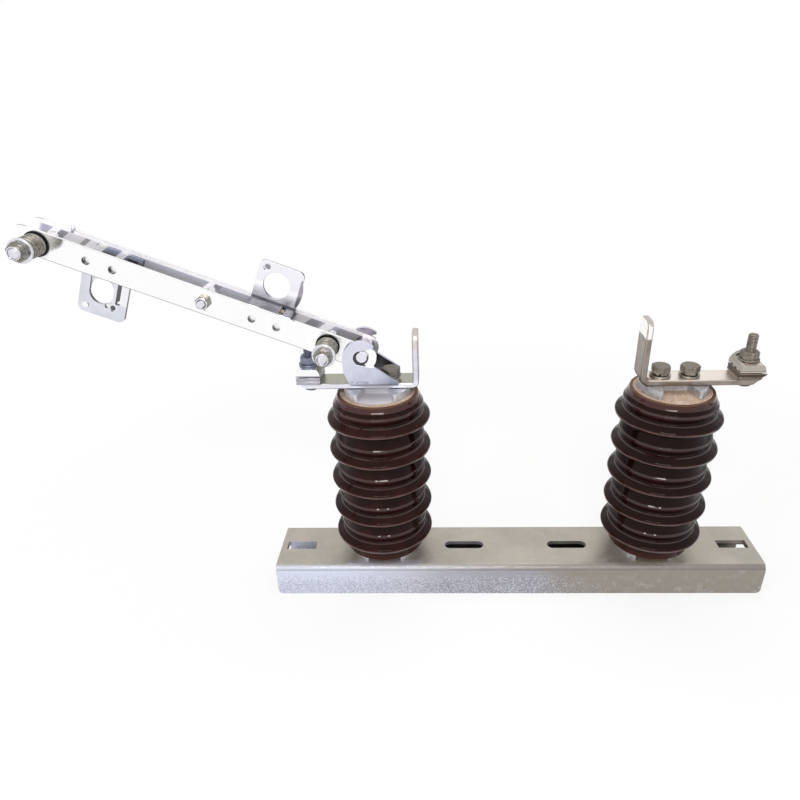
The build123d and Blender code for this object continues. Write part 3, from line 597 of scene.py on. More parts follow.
polished.set({"Roughness": 0.1 + inward * 0.45 + near_bolt * 0.1})
# Painted shade: dark lines along the edges of the faces, darker edges where they face down, and dark walls
# in the holes.
lower_line = (0 - over).between(9.2, 9.7) * flat
inner_corner, outer_corner = 1 - abs(y).between(11.6, 12.0), abs(y).between(13.7, 14.1)
upper_lines = (inner_corner + outer_corner) * over.between(8, 9)
polished.paint(lower_line * 0.8, (150, 140, 142))
polished.paint((edge * upper_lines).between(0, 1) * 0.8, (140, 132, 134))
polished.paint(edge * along.between(262, 268) * 0.7, (140, 132, 134))
polished.paint(edge * (0 - polished.facing(2)).between(0.0, 0.3) * 0.8, (96, 88, 90))
hole_shade = edge * (1 - abs(over).between(8.6, 9.0)) * along.between(2, 4)
polished.paint(hole_shade, (52, 50, 54))
tell(polished)
# %% [markdown]
# ## The two rings
#
# Each ring is bent from one plate: a flat limb with the hole for the stick's hook, and a web that is
# riveted between the strips. The limb is bright. The web stands in the slot, so like the inner faces
# it is painted grey with streaks of light and a dark shadow, as painted reflection and painted shade,
# and it is only part metal, because a mirror would fill it with white. Cut edges, a margin along the
# closing ring's edge and the bent tongue of the pull ring are painted dark as painted shade. Small
# round spots of painted shade and painted highlight stand for a dimple, rivets and a pin, which are
# only a few millimetres across.
# %% Rings
plated = metal("ring_plate", (209, 212, 222), (231, 232, 241), 0.3, 0.1, 12, relief=0.03)
along, over, y = blade_place(plated)
lean = along + (over - 5) * 0.7
pull_end = along.between(150, 160)
outer_face = (plated.facing(1) * y / HALF_GAP).between(0.8, 0.95)
web = (1 - abs(over).between(11, 12)) * (1 - outer_face)
plated.paint(over.between(5, 12) * 0.8, (251, 249, 255))
mottle = plated.noise(7).between(0.3, 0.7)
# Painted reflection and shade: the web of the closing ring is dark grey, and at the pull end grey with
# painted streaks of light and a painted shadow.
near_web = plated.mix(mottle, (78, 82, 90), (112, 116, 124))
plated.paint(web * (1 - pull_end), near_web)
far_web = plated.mix(over.between(2.5, 5.5), (112, 106, 110), (146, 156, 176))
low_shadow = along.within(190, 197, 1.5) * (1 - over.between(3.5, 5))
streaks = (
    (low_shadow, (60, 56, 60)), (lean.within(199.5, 204.5, 1), (244, 246, 250)),
    (lean.within(216.5, 222, 1), (232, 234, 232)),
)
for streak, tone in streaks:
    far_web = plated.mix(streak, far_web, tone)
plated.paint(web * pull_end, far_web)
plated.paint((1 - abs(over).between(9, 10)) * outer_face, (250, 250, 252))
limb = along.within(180, 190.9, 0.3) * (0 - over).within(10, 27, 1)
plated.paint(limb, (246, 246, 250))
flat = abs(plated.facing(1)).between(0.8, 0.95)
# Painted shade: cut edges are darker, most where they face the hinge side or down.
shaded_cut_side = (plated.facing(0) - plated.facing(2) * 0.4).between(0.0, 0.5)
plated.paint((1 - flat) * (0.35 + shaded_cut_side * 0.6), (84, 82, 88))
# Painted shade: a dark margin along the closing ring's edge, for its shaded thickness.
edge_shade_margin = (1 - along.between(63.4, 64.2)) * over.within(13, 35, 1.5)
edge_shade_tone = plated.mix(over.between(21, 24), (64, 60, 70), (136, 130, 146))
plated.paint(edge_shade_margin * 0.8, edge_shade_tone)
# Painted shade: the tongue bent back into the window is dark where it turns away from the plate, with its
# flat strip light.
shaded_tongue = along.within(194.3, 197, 0.2) * (0 - over).within(11, 28, 0.5)
plated.paint(shaded_tongue, plated.mix(flat, (40, 36, 46), (232, 232, 242)))


def spot(at, up, size):
    """1 inside a small round spot on a ring plate, 0 outside it."""
    aside, above = along - at, over - up
    return 1 - (aside * aside + above * above).between((size * 0.8) ** 2, (size) ** 2)


# Painted shade and painted highlight: a dark dimple, a rivet with a bright middle between two dark spots,
# a bright bump, and a dark pin hole in a bright ring.
spots = (
    (92.1, 37.2, 2.6, 0.8, (122, 116, 126)), (72, 8.4, 1.6, 1, (40, 38, 42)),
    (72, 5.8, 1.9, 1, (246, 226, 204)), (72, 3.0, 1.6, 1, (48, 40, 38)),
    (216.3, -36, 2.6, 1, (252, 252, 253)), (195.6, -31.4, 3.2, 0.7, (246, 246, 250)),
    (195.6, -31.6, 2.3, 0.9, (58, 56, 62)), (196.0, -33.9, 1.4, 0.6, (84, 82, 88)),
)
for at, up, size, weight, tone in spots:
    plated.paint(spot(at, up, size) * weight, tone)
plated.set({"Metallic": 1 - web * 0.8})
tell(plated)
# %% [markdown]
# ## Bracket
#
# The bracket's two ears are pressed from one sheet. Outside they are freshly plated, painted paler
# towards the hook, where the light falls, and darker and bluer towards the arm as painted shade.
# Inside, where they face each other, they are painted olive as painted shade, paler near the top
# where they rise into the light. A smudge marks the bend at the foot, and the foot's lower edge is
# painted dark as painted shade.
# %% Hinge bracket
ear_zinc = metal("bracket_plate", (195, 200, 217), (215, 218, 235), 0.36, 0.14, 9, relief=0.05)
ex, ey, ez = ear_zinc.axes()
# Painted light and shade: paler towards the hook at the upper left, darker and bluer towards the arm at
# the lower right.
lit_upper_left = (ez - ex).between(318, 348)
shaded_lower_right = (ex - ez).between(-312, -282)
ear_zinc.paint(lit_upper_left * 0.75, (226, 226, 240))
ear_zinc.paint(shaded_lower_right * 0.85, (112, 121, 144))
ear_edge = 1 - abs(ear_zinc.facing(1)).between(0.8, 0.95)
ear_zinc.paint(ear_edge * 0.6, (208, 208, 220))
smudge = ez.within(179.4, 181.2, 0.8) * ex.within(-142, -130, 4)
ear_zinc.paint(smudge * ear_zinc.noise(4).between(0.35, 0.6) * 0.45, (120, 124, 138))
# Painted shade: the inner faces, which look at each other, are olive, paler near the top where they rise
# into the light.
shaded_ear_inner = (0 - ear_zinc.facing(1) * ey / 14.6).between(0.4, 0.8)
inner_shade_tone = ear_zinc.mix(ez.between(207, 212), (92, 90, 80), (152, 146, 156))
ear_zinc.paint(shaded_ear_inner * 0.9, inner_shade_tone)
# Painted shade: the lower edge of the foot is darker.
shaded_foot = (1 - ez.between(177.0, 178.2)) * abs(ey).between(15, 16)
ear_zinc.paint(shaded_foot * 0.7, (96, 98, 110))
tell(ear_zinc)
# %% [markdown]
# ## Terminal bars
#
# Each bar is painted by the way its faces look, and most of that is painted light: the tops are paler
# as a painted reflection of the room, faces that look down or aside are darker as painted shade, the
# hinge bar's front is blue-white where the cool light falls, and the jaw bar is warm and darker as
# painted shade. Each bar is also painted by height where the blade has polished the tab.
# %% Hinge bar
hinge_tin = metal(
    "tinned_hinge_bar", (202, 200, 209), (216, 214, 222), 0.3, 0.12, 14, (0.15, 1, 1)
)
height = hinge_tin.axes()[2]
bar_top_face = hinge_tin.facing(2).between(0.5, 0.9)
bar_front = (0 - hinge_tin.facing(1)).between(0.5, 0.9)
bar_below = (0 - hinge_tin.facing(2)).between(0.4, 0.8)
# Painted reflection on the tops, painted cool light on the front, and painted shade on faces that look
# down.
hinge_tin.paint(bar_top_face, (170, 171, 155))
hinge_tin.paint(bar_front * (1 - height.between(176, 180)), (222, 223, 232))
hinge_tin.paint(bar_below, (120, 120, 118))
hinge_tin.paint(height.between(204.5, 206.5) * 0.9, (206, 199, 192))
hinge_tin.set({"Metallic": 1 - bar_front * 0.6})
tell(hinge_tin)
# %% [markdown]
# The jaw's bar is duller: its top is painted pale in rubbed patches as painted reflection, its sides
# and front darker as painted shade, and it has a wiped end on its tab. Sheared edges, which face
# neither along an axis nor up, are duller still.
# %% Jaw bar
jaw_tin = Finish("tinned_jaw_bar", (232, 221, 212), 1.0, 0.28)
height = jaw_tin.axes()[2]
rub = jaw_tin.noise(10, 4, 0.6)
hair = jaw_tin.noise(0.8, 3, 0.6, (0.15, 1, 1))
bar_top_face = jaw_tin.facing(2).between(0.5, 0.9)
wiped = (height + (rub - 0.5) * 4).between(211.5, 213)
# Painted shade on the sides and front, painted reflection on the top.
side_shade_tone = jaw_tin.mix(rub.between(0.3, 0.7), (140, 131, 122), (172, 160, 150))
top_tone = jaw_tin.mix(rub, (234, 222, 212), (250, 241, 233))
jaw_tin.set({"Base Color": jaw_tin.mix(bar_top_face, side_shade_tone, top_tone)})
jaw_tin.paint(wiped, (252, 249, 246))
# Painted shade: the front is darker still.
bar_front = (0 - jaw_tin.facing(1)).between(0.5, 0.9) * (1 - wiped)
jaw_tin.paint(bar_front * 0.35, (134, 126, 116))
sideways, forwards = abs(jaw_tin.facing(0)), abs(jaw_tin.facing(1))
squareness = jaw_tin.node(
    "ShaderNodeMath", {"operation": "MAXIMUM"}, {0: sideways, 1: forwards}
)
sheared = (0.92 - squareness).between(0.0, 0.06) * height.between(180, 186)
jaw_tin.paint(sheared * 0.8, (176, 166, 162))
jaw_tin.set({"Roughness": 0.36 - wiped * 0.2 + (hair - 0.5) * 0.12})
jaw_tin.bump(hair * 0.7 + rub * 0.3, 0.05, 0.5)
tell(jaw_tin)
# %% [markdown]
# ## Clamps
#
# The terminal clamps are two castings each, one over the other. Their tops catch the overhead light
# and are painted pale, the jaw's with a painted highlight on its front strip and a greenish back. On
# their sides the joint between the two castings and the teeth are painted as light and dark lines at
# set heights: painted highlight and painted shade.
# %% Clamps
grey_clamp = metal("grey_clamp", (98, 89, 81), (122, 112, 103), 0.4, 0.16, 4, relief=0.08)
_, clamp_y, clamp_z = grey_clamp.axes()
upward = grey_clamp.facing(2).between(0.3, 0.8)
brow = clamp_z.between(184.6, 185.4)
beside = (0 - grey_clamp.facing(2)).between(-0.3, 0) * clamp_z.between(170, 171)
# Painted light and shade: pale tops, a painted highlight on the jaw's front strip, and light and dark
# bands on the sides.
clamp_coats = (
    ((upward + brow).between(0, 1) * 0.9, (186, 180, 170)),
    (upward * (0 - clamp_y).between(6, 7.5) * 0.8, (224, 214, 206)),
    (upward * clamp_y.between(-4, 4) * 0.5, (150, 156, 146)),
    (beside * clamp_z.within(182.6, 184.4, 0.3), (200, 190, 182)),
    (beside * clamp_z.within(178.4, 182.2, 0.4), (84, 73, 64)),
    (beside * (1 - clamp_z.between(177.6, 178.0)), (142, 132, 122)),
)
for amount, tone in clamp_coats:
    grey_clamp.paint(amount, tone)

pale_clamp = metal("pale_clamp", (168, 166, 176), (190, 187, 197), 0.3, 0.14, 5, relief=0.05)
upward = pale_clamp.facing(2).between(0.2, 0.7)
brow = pale_clamp.axes()[2].between(184.2, 185.0)
shaded_end = pale_clamp.facing(0).between(0.5, 0.8)
pale_clamp.paint((upward + brow).between(0, 1), (252, 252, 253))
pale_clamp.paint(shaded_end, (96, 95, 82))
pale_clamp.set({"Metallic": 1 - shaded_end * 0.85})
tell(grey_clamp)
# %% [markdown]
# ## Soft edges on plate and bar
#
# Cut plate is never knife-sharp: shearing, tumbling and plating round its edges by a few tenths of
# a millimetre, and that thin band catches the light. The packed solids have true sizes but hard
# edges and loose triangles, so a copy is merged, its flat faces are joined up again, and a Bevel
# modifier rounds what is sharper than about 30 degrees.
# %% Softened copies
SHARP = np.radians(32)


def finish_piece(piece, finish, body, nodes):
    """Gives a piece its finish and its body, and lets it stand for the named solids."""
    piece.data.materials.clear()
    piece.data.materials.append(finish.material)
    piece.data.shade_smooth()
    piece.data.set_sharp_from_angle(angle=SHARP)
    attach(piece, body)
    if nodes:
        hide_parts(*nodes)
    return piece


def softened(node, finish, width):
    """A merged copy of a solid with its edges rounded over a width in millimetres."""
    piece = added("soft_" + node, frame["nodes"][node].data.copy())
    work = bmesh.new()
    work.from_mesh(piece.data)
    bmesh.ops.remove_doubles(work, verts=work.verts, dist=2e-6)
    flat = np.radians(0.3)
    bmesh.ops.dissolve_limit(work, angle_limit=flat, verts=work.verts, edges=work.edges)
    work.to_mesh(piece.data)
    work.free()
    edge = piece.modifiers.new("edge", "BEVEL")
    edge.width, edge.segments = width * MM, 2
    edge.limit_method, edge.angle_limit = "ANGLE", SHARP
    edge.use_clamp_overlap = True
    return finish_piece(piece, finish, frame["nodes"][node]["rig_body"], [node])


soft = {
    "base_channel": (zinc, 0.6),
    "hinge_terminal_bar": (hinge_tin, 0.4),
    "jaw_terminal_bar": (jaw_tin, 0.4),
    "hinge_bracket": (ear_zinc, 0.35),
    "front_blade_bar": (polished, 0.3),
    "back_blade_bar": (polished, 0.3),
    "closing_ring": (plated, 0.35),
    "pull_ring": (plated, 0.35),
    **{f"{side}_{end}_insert": (cast_iron, 0.8) for end in ("top", "bottom") for side in POSTS},
    "hinge_clamp_upper_jaw": (pale_clamp, 0.4),
    "hinge_clamp_lower_jaw": (pale_clamp, 0.3),
    "jaw_clamp_upper_jaw": (grey_clamp, 0.4),
    "jaw_clamp_lower_jaw": (grey_clamp, 0.3),
}
for node, (finish, width) in soft.items():
    softened(node, finish, width)
print("softened copies:", len(soft))
# %% [markdown]
# ## Bolts, nuts, washers and springs
#
# Fasteners are round or six-sided bodies about an axis, so each is a stack of rings: a table of
# radii, one row a height and one column a direction, carried round the axis as a whole array.
# %% Skins made of rings
TURNS = 96
ROUND = np.linspace(0, 2 * np.pi, TURNS, endpoint=False)


def rings(centre, frame_of, radii, heights):
    """Points of a stack of rings: centre + height * axis + radius * (cos a * across + sin a * up)."""
    across, up, axis = frame_of
    radii = np.broadcast_to(np.asarray(radii, float), (len(heights), TURNS))
    heights = np.broadcast_to(np.asarray(heights, float).reshape(len(heights), -1), radii.shape)
    flat = radii[..., None] * (np.cos(ROUND)[:, None] * across + np.sin(ROUND)[:, None] * up)
    return np.asarray(centre) + flat + heights[..., None] * axis


def skin(points, loop=False):
    """Closes rows of points into a skin. Each row closes on itself. With loop the last row meets
    the first, as in a washer. Otherwise the first and last rows each get one flat face. A skin that
    is inside out adds up to a volume below zero, and then every face is turned."""
    rows, columns = points.shape[:2]
    index = np.arange(rows * columns).reshape(rows, columns)
    ahead, above = np.roll(index, -1, 1), np.roll(index, -1, 0)
    corner = np.roll(above, -1, 1)
    quads = np.stack([index, ahead, corner, above], -1)
    quads = quads if loop else quads[:-1]
    faces = quads.reshape(-1, 4).tolist()
    if not loop:
        faces += [index[0][::-1].tolist(), index[-1].tolist()]
    flat = points.reshape(-1, 3)
    a, b, c, d = (flat[quads.reshape(-1, 4)[:, k]] for k in range(4))
    middle = flat.mean(0)
    volume = ((np.cross(b - a, c - a) + np.cross(c - a, d - a)) * (a - middle)).sum()
    return flat, faces if volume > 0 else [face[::-1] for face in faces]


def piece_of(name, skins, finish, body, nodes=()):
    """One object from several closed skins, with a finish, riding on a body."""
    points, faces, start = [], [], 0
    for flat, own in skins:
        points.append(flat)
        faces += [[start + i for i in face] for face in own]
        start += len(flat)
    mesh = bpy.data.meshes.new(name)
    mesh.from_pydata(np.vstack(points).tolist(), [], faces)
    return finish_piece(added(name, mesh), finish, body, nodes)


print("directions in a ring:", TURNS)
# %% [markdown]
# A hexagon is a radius that swings in and out six times a turn. A cone trims its corners near the
# top, as on every real bolt head, and a nut is trimmed at both ends.
# %% Hexagons
def hexagon(across_flats, turn=0.0):
    """Radius of a hexagon in every direction: half its width over the cosine of the angle from
    the middle of the nearest side; turn is the direction of a corner, in degrees."""
    off = np.mod(ROUND - np.radians(turn), np.pi / 3) - np.pi / 6
    return across_flats / 2 / np.cos(off)


def hex_rows(across_flats, height, turn=0.0, trim_bottom=False):
    """Radii and heights of a bolt head or nut: the hexagon cut by a cone of 26 degrees at its top,
    and at its bottom too where asked. Also gives the radius of the flat circle on top."""
    share = np.concatenate([[0, 0.04, 0.08, 0.13, 0.18], [0.5], [0.82, 0.87, 0.92, 0.96, 1.0]])
    heights = share * height
    flat_circle = 0.475 * across_flats
    slope = np.tan(np.radians(26))
    cone = flat_circle + (height - heights) / slope
    if trim_bottom:
        cone = np.minimum(cone, flat_circle + heights / slope)
    radii = np.minimum(hexagon(across_flats, turn)[None, :], cone[:, None])
    return radii, heights, flat_circle


def nut_rows(across_flats, bottom, top, hole, turn=0.0):
    """A nut's section: up the trimmed hexagon and down the hole, to be closed as a loop."""
    radii, heights, _ = hex_rows(across_flats, top - bottom, turn, trim_bottom=True)
    wall = np.array([[hole + 0.5 * MM], [hole], [hole], [hole + 0.5 * MM]]) * np.ones(TURNS)
    down = np.array([top - bottom, top - bottom - 0.5 * MM, 0.5 * MM, 0.0])
    return np.vstack([radii, wall]), np.concatenate([heights, down]) + bottom


print("a 14 mm head measures", round(2 * hexagon(14).max(), 2), "mm across its corners")
# %% [markdown]
# The places come from the solids, so no bolt can stand beside its hole. Bolts in the bars stand
# upright, and bolts through the blade lie across it.
# %% Places and directions
def span(node, axis):
    """Where a solid starts and ends along x, y or z (0, 1 or 2)."""
    low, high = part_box(node)
    return low[axis], high[axis]


def middle_of(node):
    """The middle of a solid's box."""
    return (np.array(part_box(node)[0]) + np.array(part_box(node)[1])) / 2


UPRIGHT = np.eye(3)
ALONG = np.array([np.cos(OPEN), 0.0, np.sin(OPEN)])
ACROSS = np.array([0.0, 1.0, 0.0])
SIDEWAYS = (ALONG, np.cross(ACROSS, ALONG), ACROSS)
print("middle bolt at", (middle_of("middle_bolt") / MM).round(1), "mm")
# %% [markdown]
# ## Threads and washers
#
# A rolled thread is a small wave wound round the shank. Its radius depends on the height less the
# direction, in turns: one formula on the whole grid winds the ridge, and the last rows taper to the
# lead-in that lets a nut start. A washer is a small closed outline carried round the axis, and a
# spring washer the same outline led round most of a turn while it rises.
# %% Threads and washers
def thread_rows(radius, bottom, top, pitch, lead=1.0 * MM):
    """Radii and heights of a threaded rod: a rounded wave of height over pitch less direction
    over one turn, tapered over the lead-in at its top end."""
    count = int(np.ceil((top - bottom) / pitch * 8)) + 1
    heights = np.linspace(bottom, top, count)
    wave = np.mod(heights[:, None] / pitch - ROUND / (2 * np.pi), 1.0)
    ridge = 1 - np.abs(2 * wave - 1)
    radii = radius - 0.45 * pitch * (1 - np.clip(1.25 * ridge, 0, 1))
    taper = radius - np.clip(heights - (top - lead), 0, None) * 0.9
    return np.minimum(radii, taper[:, None]), heights


def rounded_loop(inner, outer, bottom, top, edge):
    """The outline of a washer's section, its four corners rounded by quarter circles."""
    quarter = np.linspace(0, np.pi / 2, 5)
    corners = (
        (outer - edge, bottom + edge, -np.pi / 2),
        (outer - edge, top - edge, 0.0),
        (inner + edge, top - edge, np.pi / 2),
        (inner + edge, bottom + edge, np.pi),
    )
    radii = np.concatenate([r + edge * np.cos(start + quarter) for r, h, start in corners])
    heights = np.concatenate([h + edge * np.sin(start + quarter) for r, h, start in corners])
    return radii[:, None], heights


def washer(centre, frame_of, inner, outer, bottom, top, edge=0.35 * MM):
    """A flat ring with rounded edges."""
    return skin(rings(centre, frame_of, *rounded_loop(inner, outer, bottom, top, edge)), loop=True)


def split_washer(centre, outer, inner, bottom, top, gap_at):
    """A spring washer: a four-sided section led round most of a turn, its two cut ends a little
    apart in height. Every section is a ring of points, so the skin's rows run round the washer."""
    round_it = np.linspace(np.radians(8), np.radians(352), 72) + np.radians(gap_at)
    step = 0.35 * MM
    radii, heights = rounded_loop(inner, outer, bottom, top - step, 0.25 * MM)
    rise = np.linspace(0, step, len(round_it))
    x = np.cos(round_it)[:, None] * radii[:, 0]
    y = np.sin(round_it)[:, None] * radii[:, 0]
    z = heights[None, :] + rise[:, None]
    return skin(np.asarray(centre) + np.stack([x, y, z], -1))


jaw_bar_top = span("jaw_bar_washers", 2)[0]
print("the jaw bar's top is at", round(jaw_bar_top / MM, 2), "mm")
# %% [markdown]
# ## The posts, thrown again
#
# Each post is turned on a lathe, so its outline is all it needs: a few corners a shed, each rounded
# by its own radius, carried round the axis. Between two sheds runs a narrow ridge with a small ledge
# on top, and below the mouth sits a collar. Those ledges hold the thin lines of light that a thick
# glaze shows, which is why they are worth a finer outline than the solid has.
# %% Glazed posts
def rounded_path(corners, roundings, steps=5):
    """A chain of corners, each replaced by an arc of its radius that touches both its lines."""
    corners = np.asarray(corners, float)
    path = [corners[0]]
    for before, corner, after, radius in zip(corners, corners[1:], corners[2:], roundings):
        to_before, to_after = before - corner, after - corner
        to_before /= np.linalg.norm(to_before)
        to_after /= np.linalg.norm(to_after)
        half = np.arccos(np.clip(to_before @ to_after, -1, 1)) / 2
        middle = to_before + to_after
        centre = corner + middle / np.linalg.norm(middle) * radius / np.sin(half)
        start = corner + to_before * radius / np.tan(half) - centre
        end = corner + to_after * radius / np.tan(half) - centre
        for share in np.linspace(0, 1, steps):
            spoke = start * (1 - share) + end * share
            path.append(centre + spoke / np.linalg.norm(spoke) * radius)
    return np.array(path + [corners[-1]])


SHED = ((36.3, -6.4, 1.6), (46.8, 0, 2.6), (36.3, 6.4, 1.6))
RIDGE = ((38.9, 12.0, 0.9), (38.6, 13.3, 0.6), (37.5, 14.4, 0.8))
MOUTH = ((36.2, -5.6, 0.6), (36.4, -4.6, 0.5), (35.5, -3.6, 0.5), (34.3, 0, 0.6), (32, 0, 0.3))


def post_outline(bottom, top):
    """A post's section from its bottom recess to its top one: rows of radius and height, in
    millimetres. Every corner is a radius, a rise over its level, and the rounding it gets."""
    corners = [(32, bottom + 30, 0.1), (32, bottom, 0.5), (36.3, bottom, 0.8)]
    for level in bottom + 15.1 + 29.1 * np.arange(5):
        corners += [(radius, level + rise, soft) for radius, rise, soft in SHED + RIDGE]
    corners += [(radius, top + rise, soft) for radius, rise, soft in MOUTH]
    corners += [(32, top - 30, 0.1)]
    path = [(0.5, bottom + 30)] + [corner[:2] for corner in corners] + [(0.5, top - 30)]
    return rounded_path(path, [soft for _, _, soft in corners])


for side, x in POSTS.items():
    low, high = span(side + "_porcelain", 2)
    section = post_outline(low / MM, high / MM) * MM
    post = rings((x, 0, 0), UPRIGHT, section[:, :1], section[:, 1])
    piece_of(side + "_glazed_post", [skin(post)], glaze, "root", [side + "_porcelain"])
print("rows in a post:", len(section))
# %% [markdown]
# ## Bolts on the bars
#
# The hexagon bolts hold each terminal bar on its iron insert. Their heads are dull zinc. On the jaw
# bar every head sits on a spring washer and a plain washer, and on the hinge bracket on a thin one.
# %% Bolts on the terminal bars
HEAD_ACROSS, HEAD_HEIGHT, STUD = 14 * MM, 5.5 * MM, 4 * MM
DISC = (4.3 * MM, 8.6 * MM)


def hex_bolt(place, turn, length, point=1):
    """A hexagon bolt whose head stands on a place: plain shank below, trimmed head above. With
    point -1 it hangs head down."""
    radii, heights, circle = hex_rows(HEAD_ACROSS, HEAD_HEIGHT, turn)
    shank = STUD * np.array([[0.8], [1], [1]]) * np.ones(TURNS)
    top = circle * np.array([[0.8], [0.3]]) * np.ones(TURNS)
    levels = [[-length, 1 * MM - length, 0.0], heights, [HEAD_HEIGHT, HEAD_HEIGHT]]
    return skin(rings(place, UPRIGHT, np.vstack([shank, radii, top]), np.concatenate(levels) * point))


def pair(x):
    """Where along the channel the two bolts of the post at x stand."""
    return x - 12 * MM, x + 12 * MM


turns = {"hinge": (30, 20), "jaw": (24, 40)}
for side, x in POSTS.items():
    low, high = span(side + "_bar_bolts", 2)
    base = high - HEAD_HEIGHT
    heads = [hex_bolt((at, 0, base), turn, base - low) for at, turn in zip(pair(x), turns[side])]
    piece_of(side + "_bar_bolt_heads", heads, dull_zinc, "root", [side + "_bar_bolts"])
    low, high = span(side + "_base_bolts", 2)
    base = low + HEAD_HEIGHT
    under = [hex_bolt((at, 0, base), 0, high - base, point=-1) for at in pair(x)]
    under += [washer((at, 0, 0), UPRIGHT, *DISC, base, -5 * MM) for at in pair(x)]
    piece_of(side + "_base_bolt_heads", under, dull_zinc, "root", [side + "_base_bolts"])

stacks = []
plain_top = jaw_bar_top + 1.8 * MM
head_base = span("jaw_bar_bolts", 2)[1] - HEAD_HEIGHT
for at, gap in zip(pair(POSTS["jaw"]), (250, 305)):
    stacks.append(washer((at, 0, 0), UPRIGHT, *DISC, jaw_bar_top, plain_top, 0.5 * MM))
    stacks.append(split_washer((at, 0, 0), 6.9 * MM, 4.2 * MM, plain_top, head_base, gap))
piece_of("jaw_bar_washer_stacks", stacks, washer_zinc, "root", ["jaw_bar_washers"])
low, high = span("hinge_bar_washers", 2)
thin_washers = [washer((at, 0, 0), UPRIGHT, *DISC, low, high) for at in pair(POSTS["hinge"])]
piece_of("hinge_bar_thin_washers", thin_washers, washer_zinc, "root", ["hinge_bar_washers"])
print("room for a spring washer:", round((head_base - plain_top) / MM, 2), "mm")
# %% [markdown]
# Each terminal clamp closes on its conductor with one long bolt: a cup head below the bar, the
# threaded end standing up above a flange nut.
# %% Clamp bolts and nuts
CUP, BORE, PITCH = 7.7 * MM, 4.1 * MM, 1.25 * MM
bend = np.linspace(np.pi / 2, 0.15, 12)[1:]
cup_radii = CUP * np.cos(bend) ** 0.6
cup_drops = 4.5 * MM * np.sin(bend) ** 1.4
for side, finish in (("hinge", shaded_blue_zinc), ("jaw", dull_zinc)):
    place = middle_of(side + "_clamp_bolt") * [1, 0, 0]
    bottom, top = span(side + "_clamp_bolt", 2)
    seat = span(side + "_terminal_bar", 2)[0]
    rod, rod_levels = thread_rows(STUD, seat + 5 * MM, top, PITCH)
    smooth = np.concatenate([[0.6 * MM], cup_radii, [CUP, STUD, STUD]])[:, None] * np.ones(TURNS)
    levels = [[bottom], seat - cup_drops, [seat, seat, seat + 4.5 * MM], rod_levels]
    bolt = skin(rings(place, UPRIGHT, np.vstack([smooth, rod]), np.concatenate(levels)))
    piece_of(side + "_clamp_stud", [bolt], finish, "root", [side + "_clamp_bolt"])
    low, high = span(side + "_clamp_nut", 2)
    flange = rounded_loop(BORE, 8.6 * MM, low, low + 1.7 * MM, 0.7 * MM)
    hexagonal = nut_rows(13 * MM, low + 1 * MM, high, BORE, 30)
    nut = [skin(rings(place, UPRIGHT, *section), loop=True) for section in (flange, hexagonal)]
    piece_of(side + "_flange_nut", nut, finish, "root", [side + "_clamp_nut"])
    print(side, "clamp bolt:", round((top - bottom) / MM, 1), "mm long,", len(levels[-1]), "thread rows")
# %% [markdown]
# ## Bolts through the blade
#
# Three bolts cross the blade from its back strip to its front one. Each is threaded all along and
# ends in a lock nut with a pale collar. All are made lying down, round an axis that points back.
# %% Cross bolts and lock nuts
def lock_nut(name, place, node, across_flats, height, hole, collar):
    """A nut on a cross bolt, and the collar in front of it, which is given by its inner and outer
    radius and by how far it stays from the nut's back face."""
    near, far = span(node, 1)
    inner, outer, sunk = collar
    section = rounded_loop(inner, outer, near, far - sunk, 0.4 * MM)
    lock = skin(rings(place, SIDEWAYS, *section), loop=True)
    piece_of(name + "_lock_collar", [lock], bright_zinc, "blade")
    radii, levels = nut_rows(across_flats, 0.0, height, hole)
    body = skin(rings(place, SIDEWAYS, radii, far - levels), loop=True)
    piece_of(name + "_lock_nut", [body], hex_zinc, "blade", [node])


def cross_stud(name, place, node, radius, pitch, lead, across_flats, height):
    """A bolt with its head behind the back strip and its thread running to the front."""
    near, far = span(node, 1)
    seat = far - height
    rod, levels = thread_rows(radius, -seat, -near, pitch, lead)
    head, heights, circle = hex_rows(across_flats, height)
    radii = np.vstack([rod[::-1], head, np.full((1, TURNS), circle * 0.6)])
    heights = np.concatenate([-levels[::-1], seat + heights, [far]])
    stud = skin(rings(place, SIDEWAYS, radii, heights))
    piece_of(name, [stud], bright_zinc, "blade", [node])


print("the bolts' axis points along", ACROSS)
# %% [markdown]
# The two outer bolts press the strips on the bracket and on the jaw, through a plate washer, an
# open spring and a cup washer. The spring is one round wire led along a helix whose ends are ground
# flat, so its heights are simply cut off at the two end planes.
# %% Spring bolts of the blade
def spring_wire(centre, radius, wire, near, far, turns):
    """A wire led round a helix between two planes: each row is a circle of wire about one point of
    the helix, and whatever passes a plane is ground flat onto it."""
    along = np.linspace(0, 1, int(turns * 40))
    angle = along * turns * 2 * np.pi
    level = near + wire * 0.55 + along * (far - near - wire * 1.1)
    out = np.cos(angle)[:, None] * SIDEWAYS[0] + np.sin(angle)[:, None] * SIDEWAYS[1]
    circle = np.linspace(0, 2 * np.pi, 20, endpoint=False)
    reach = radius + wire * np.cos(circle)
    height = np.clip(level[:, None] + wire * np.sin(circle), near, far)
    return np.asarray(centre) + out[:, None, :] * reach[None, :, None] + height[..., None] * ACROSS


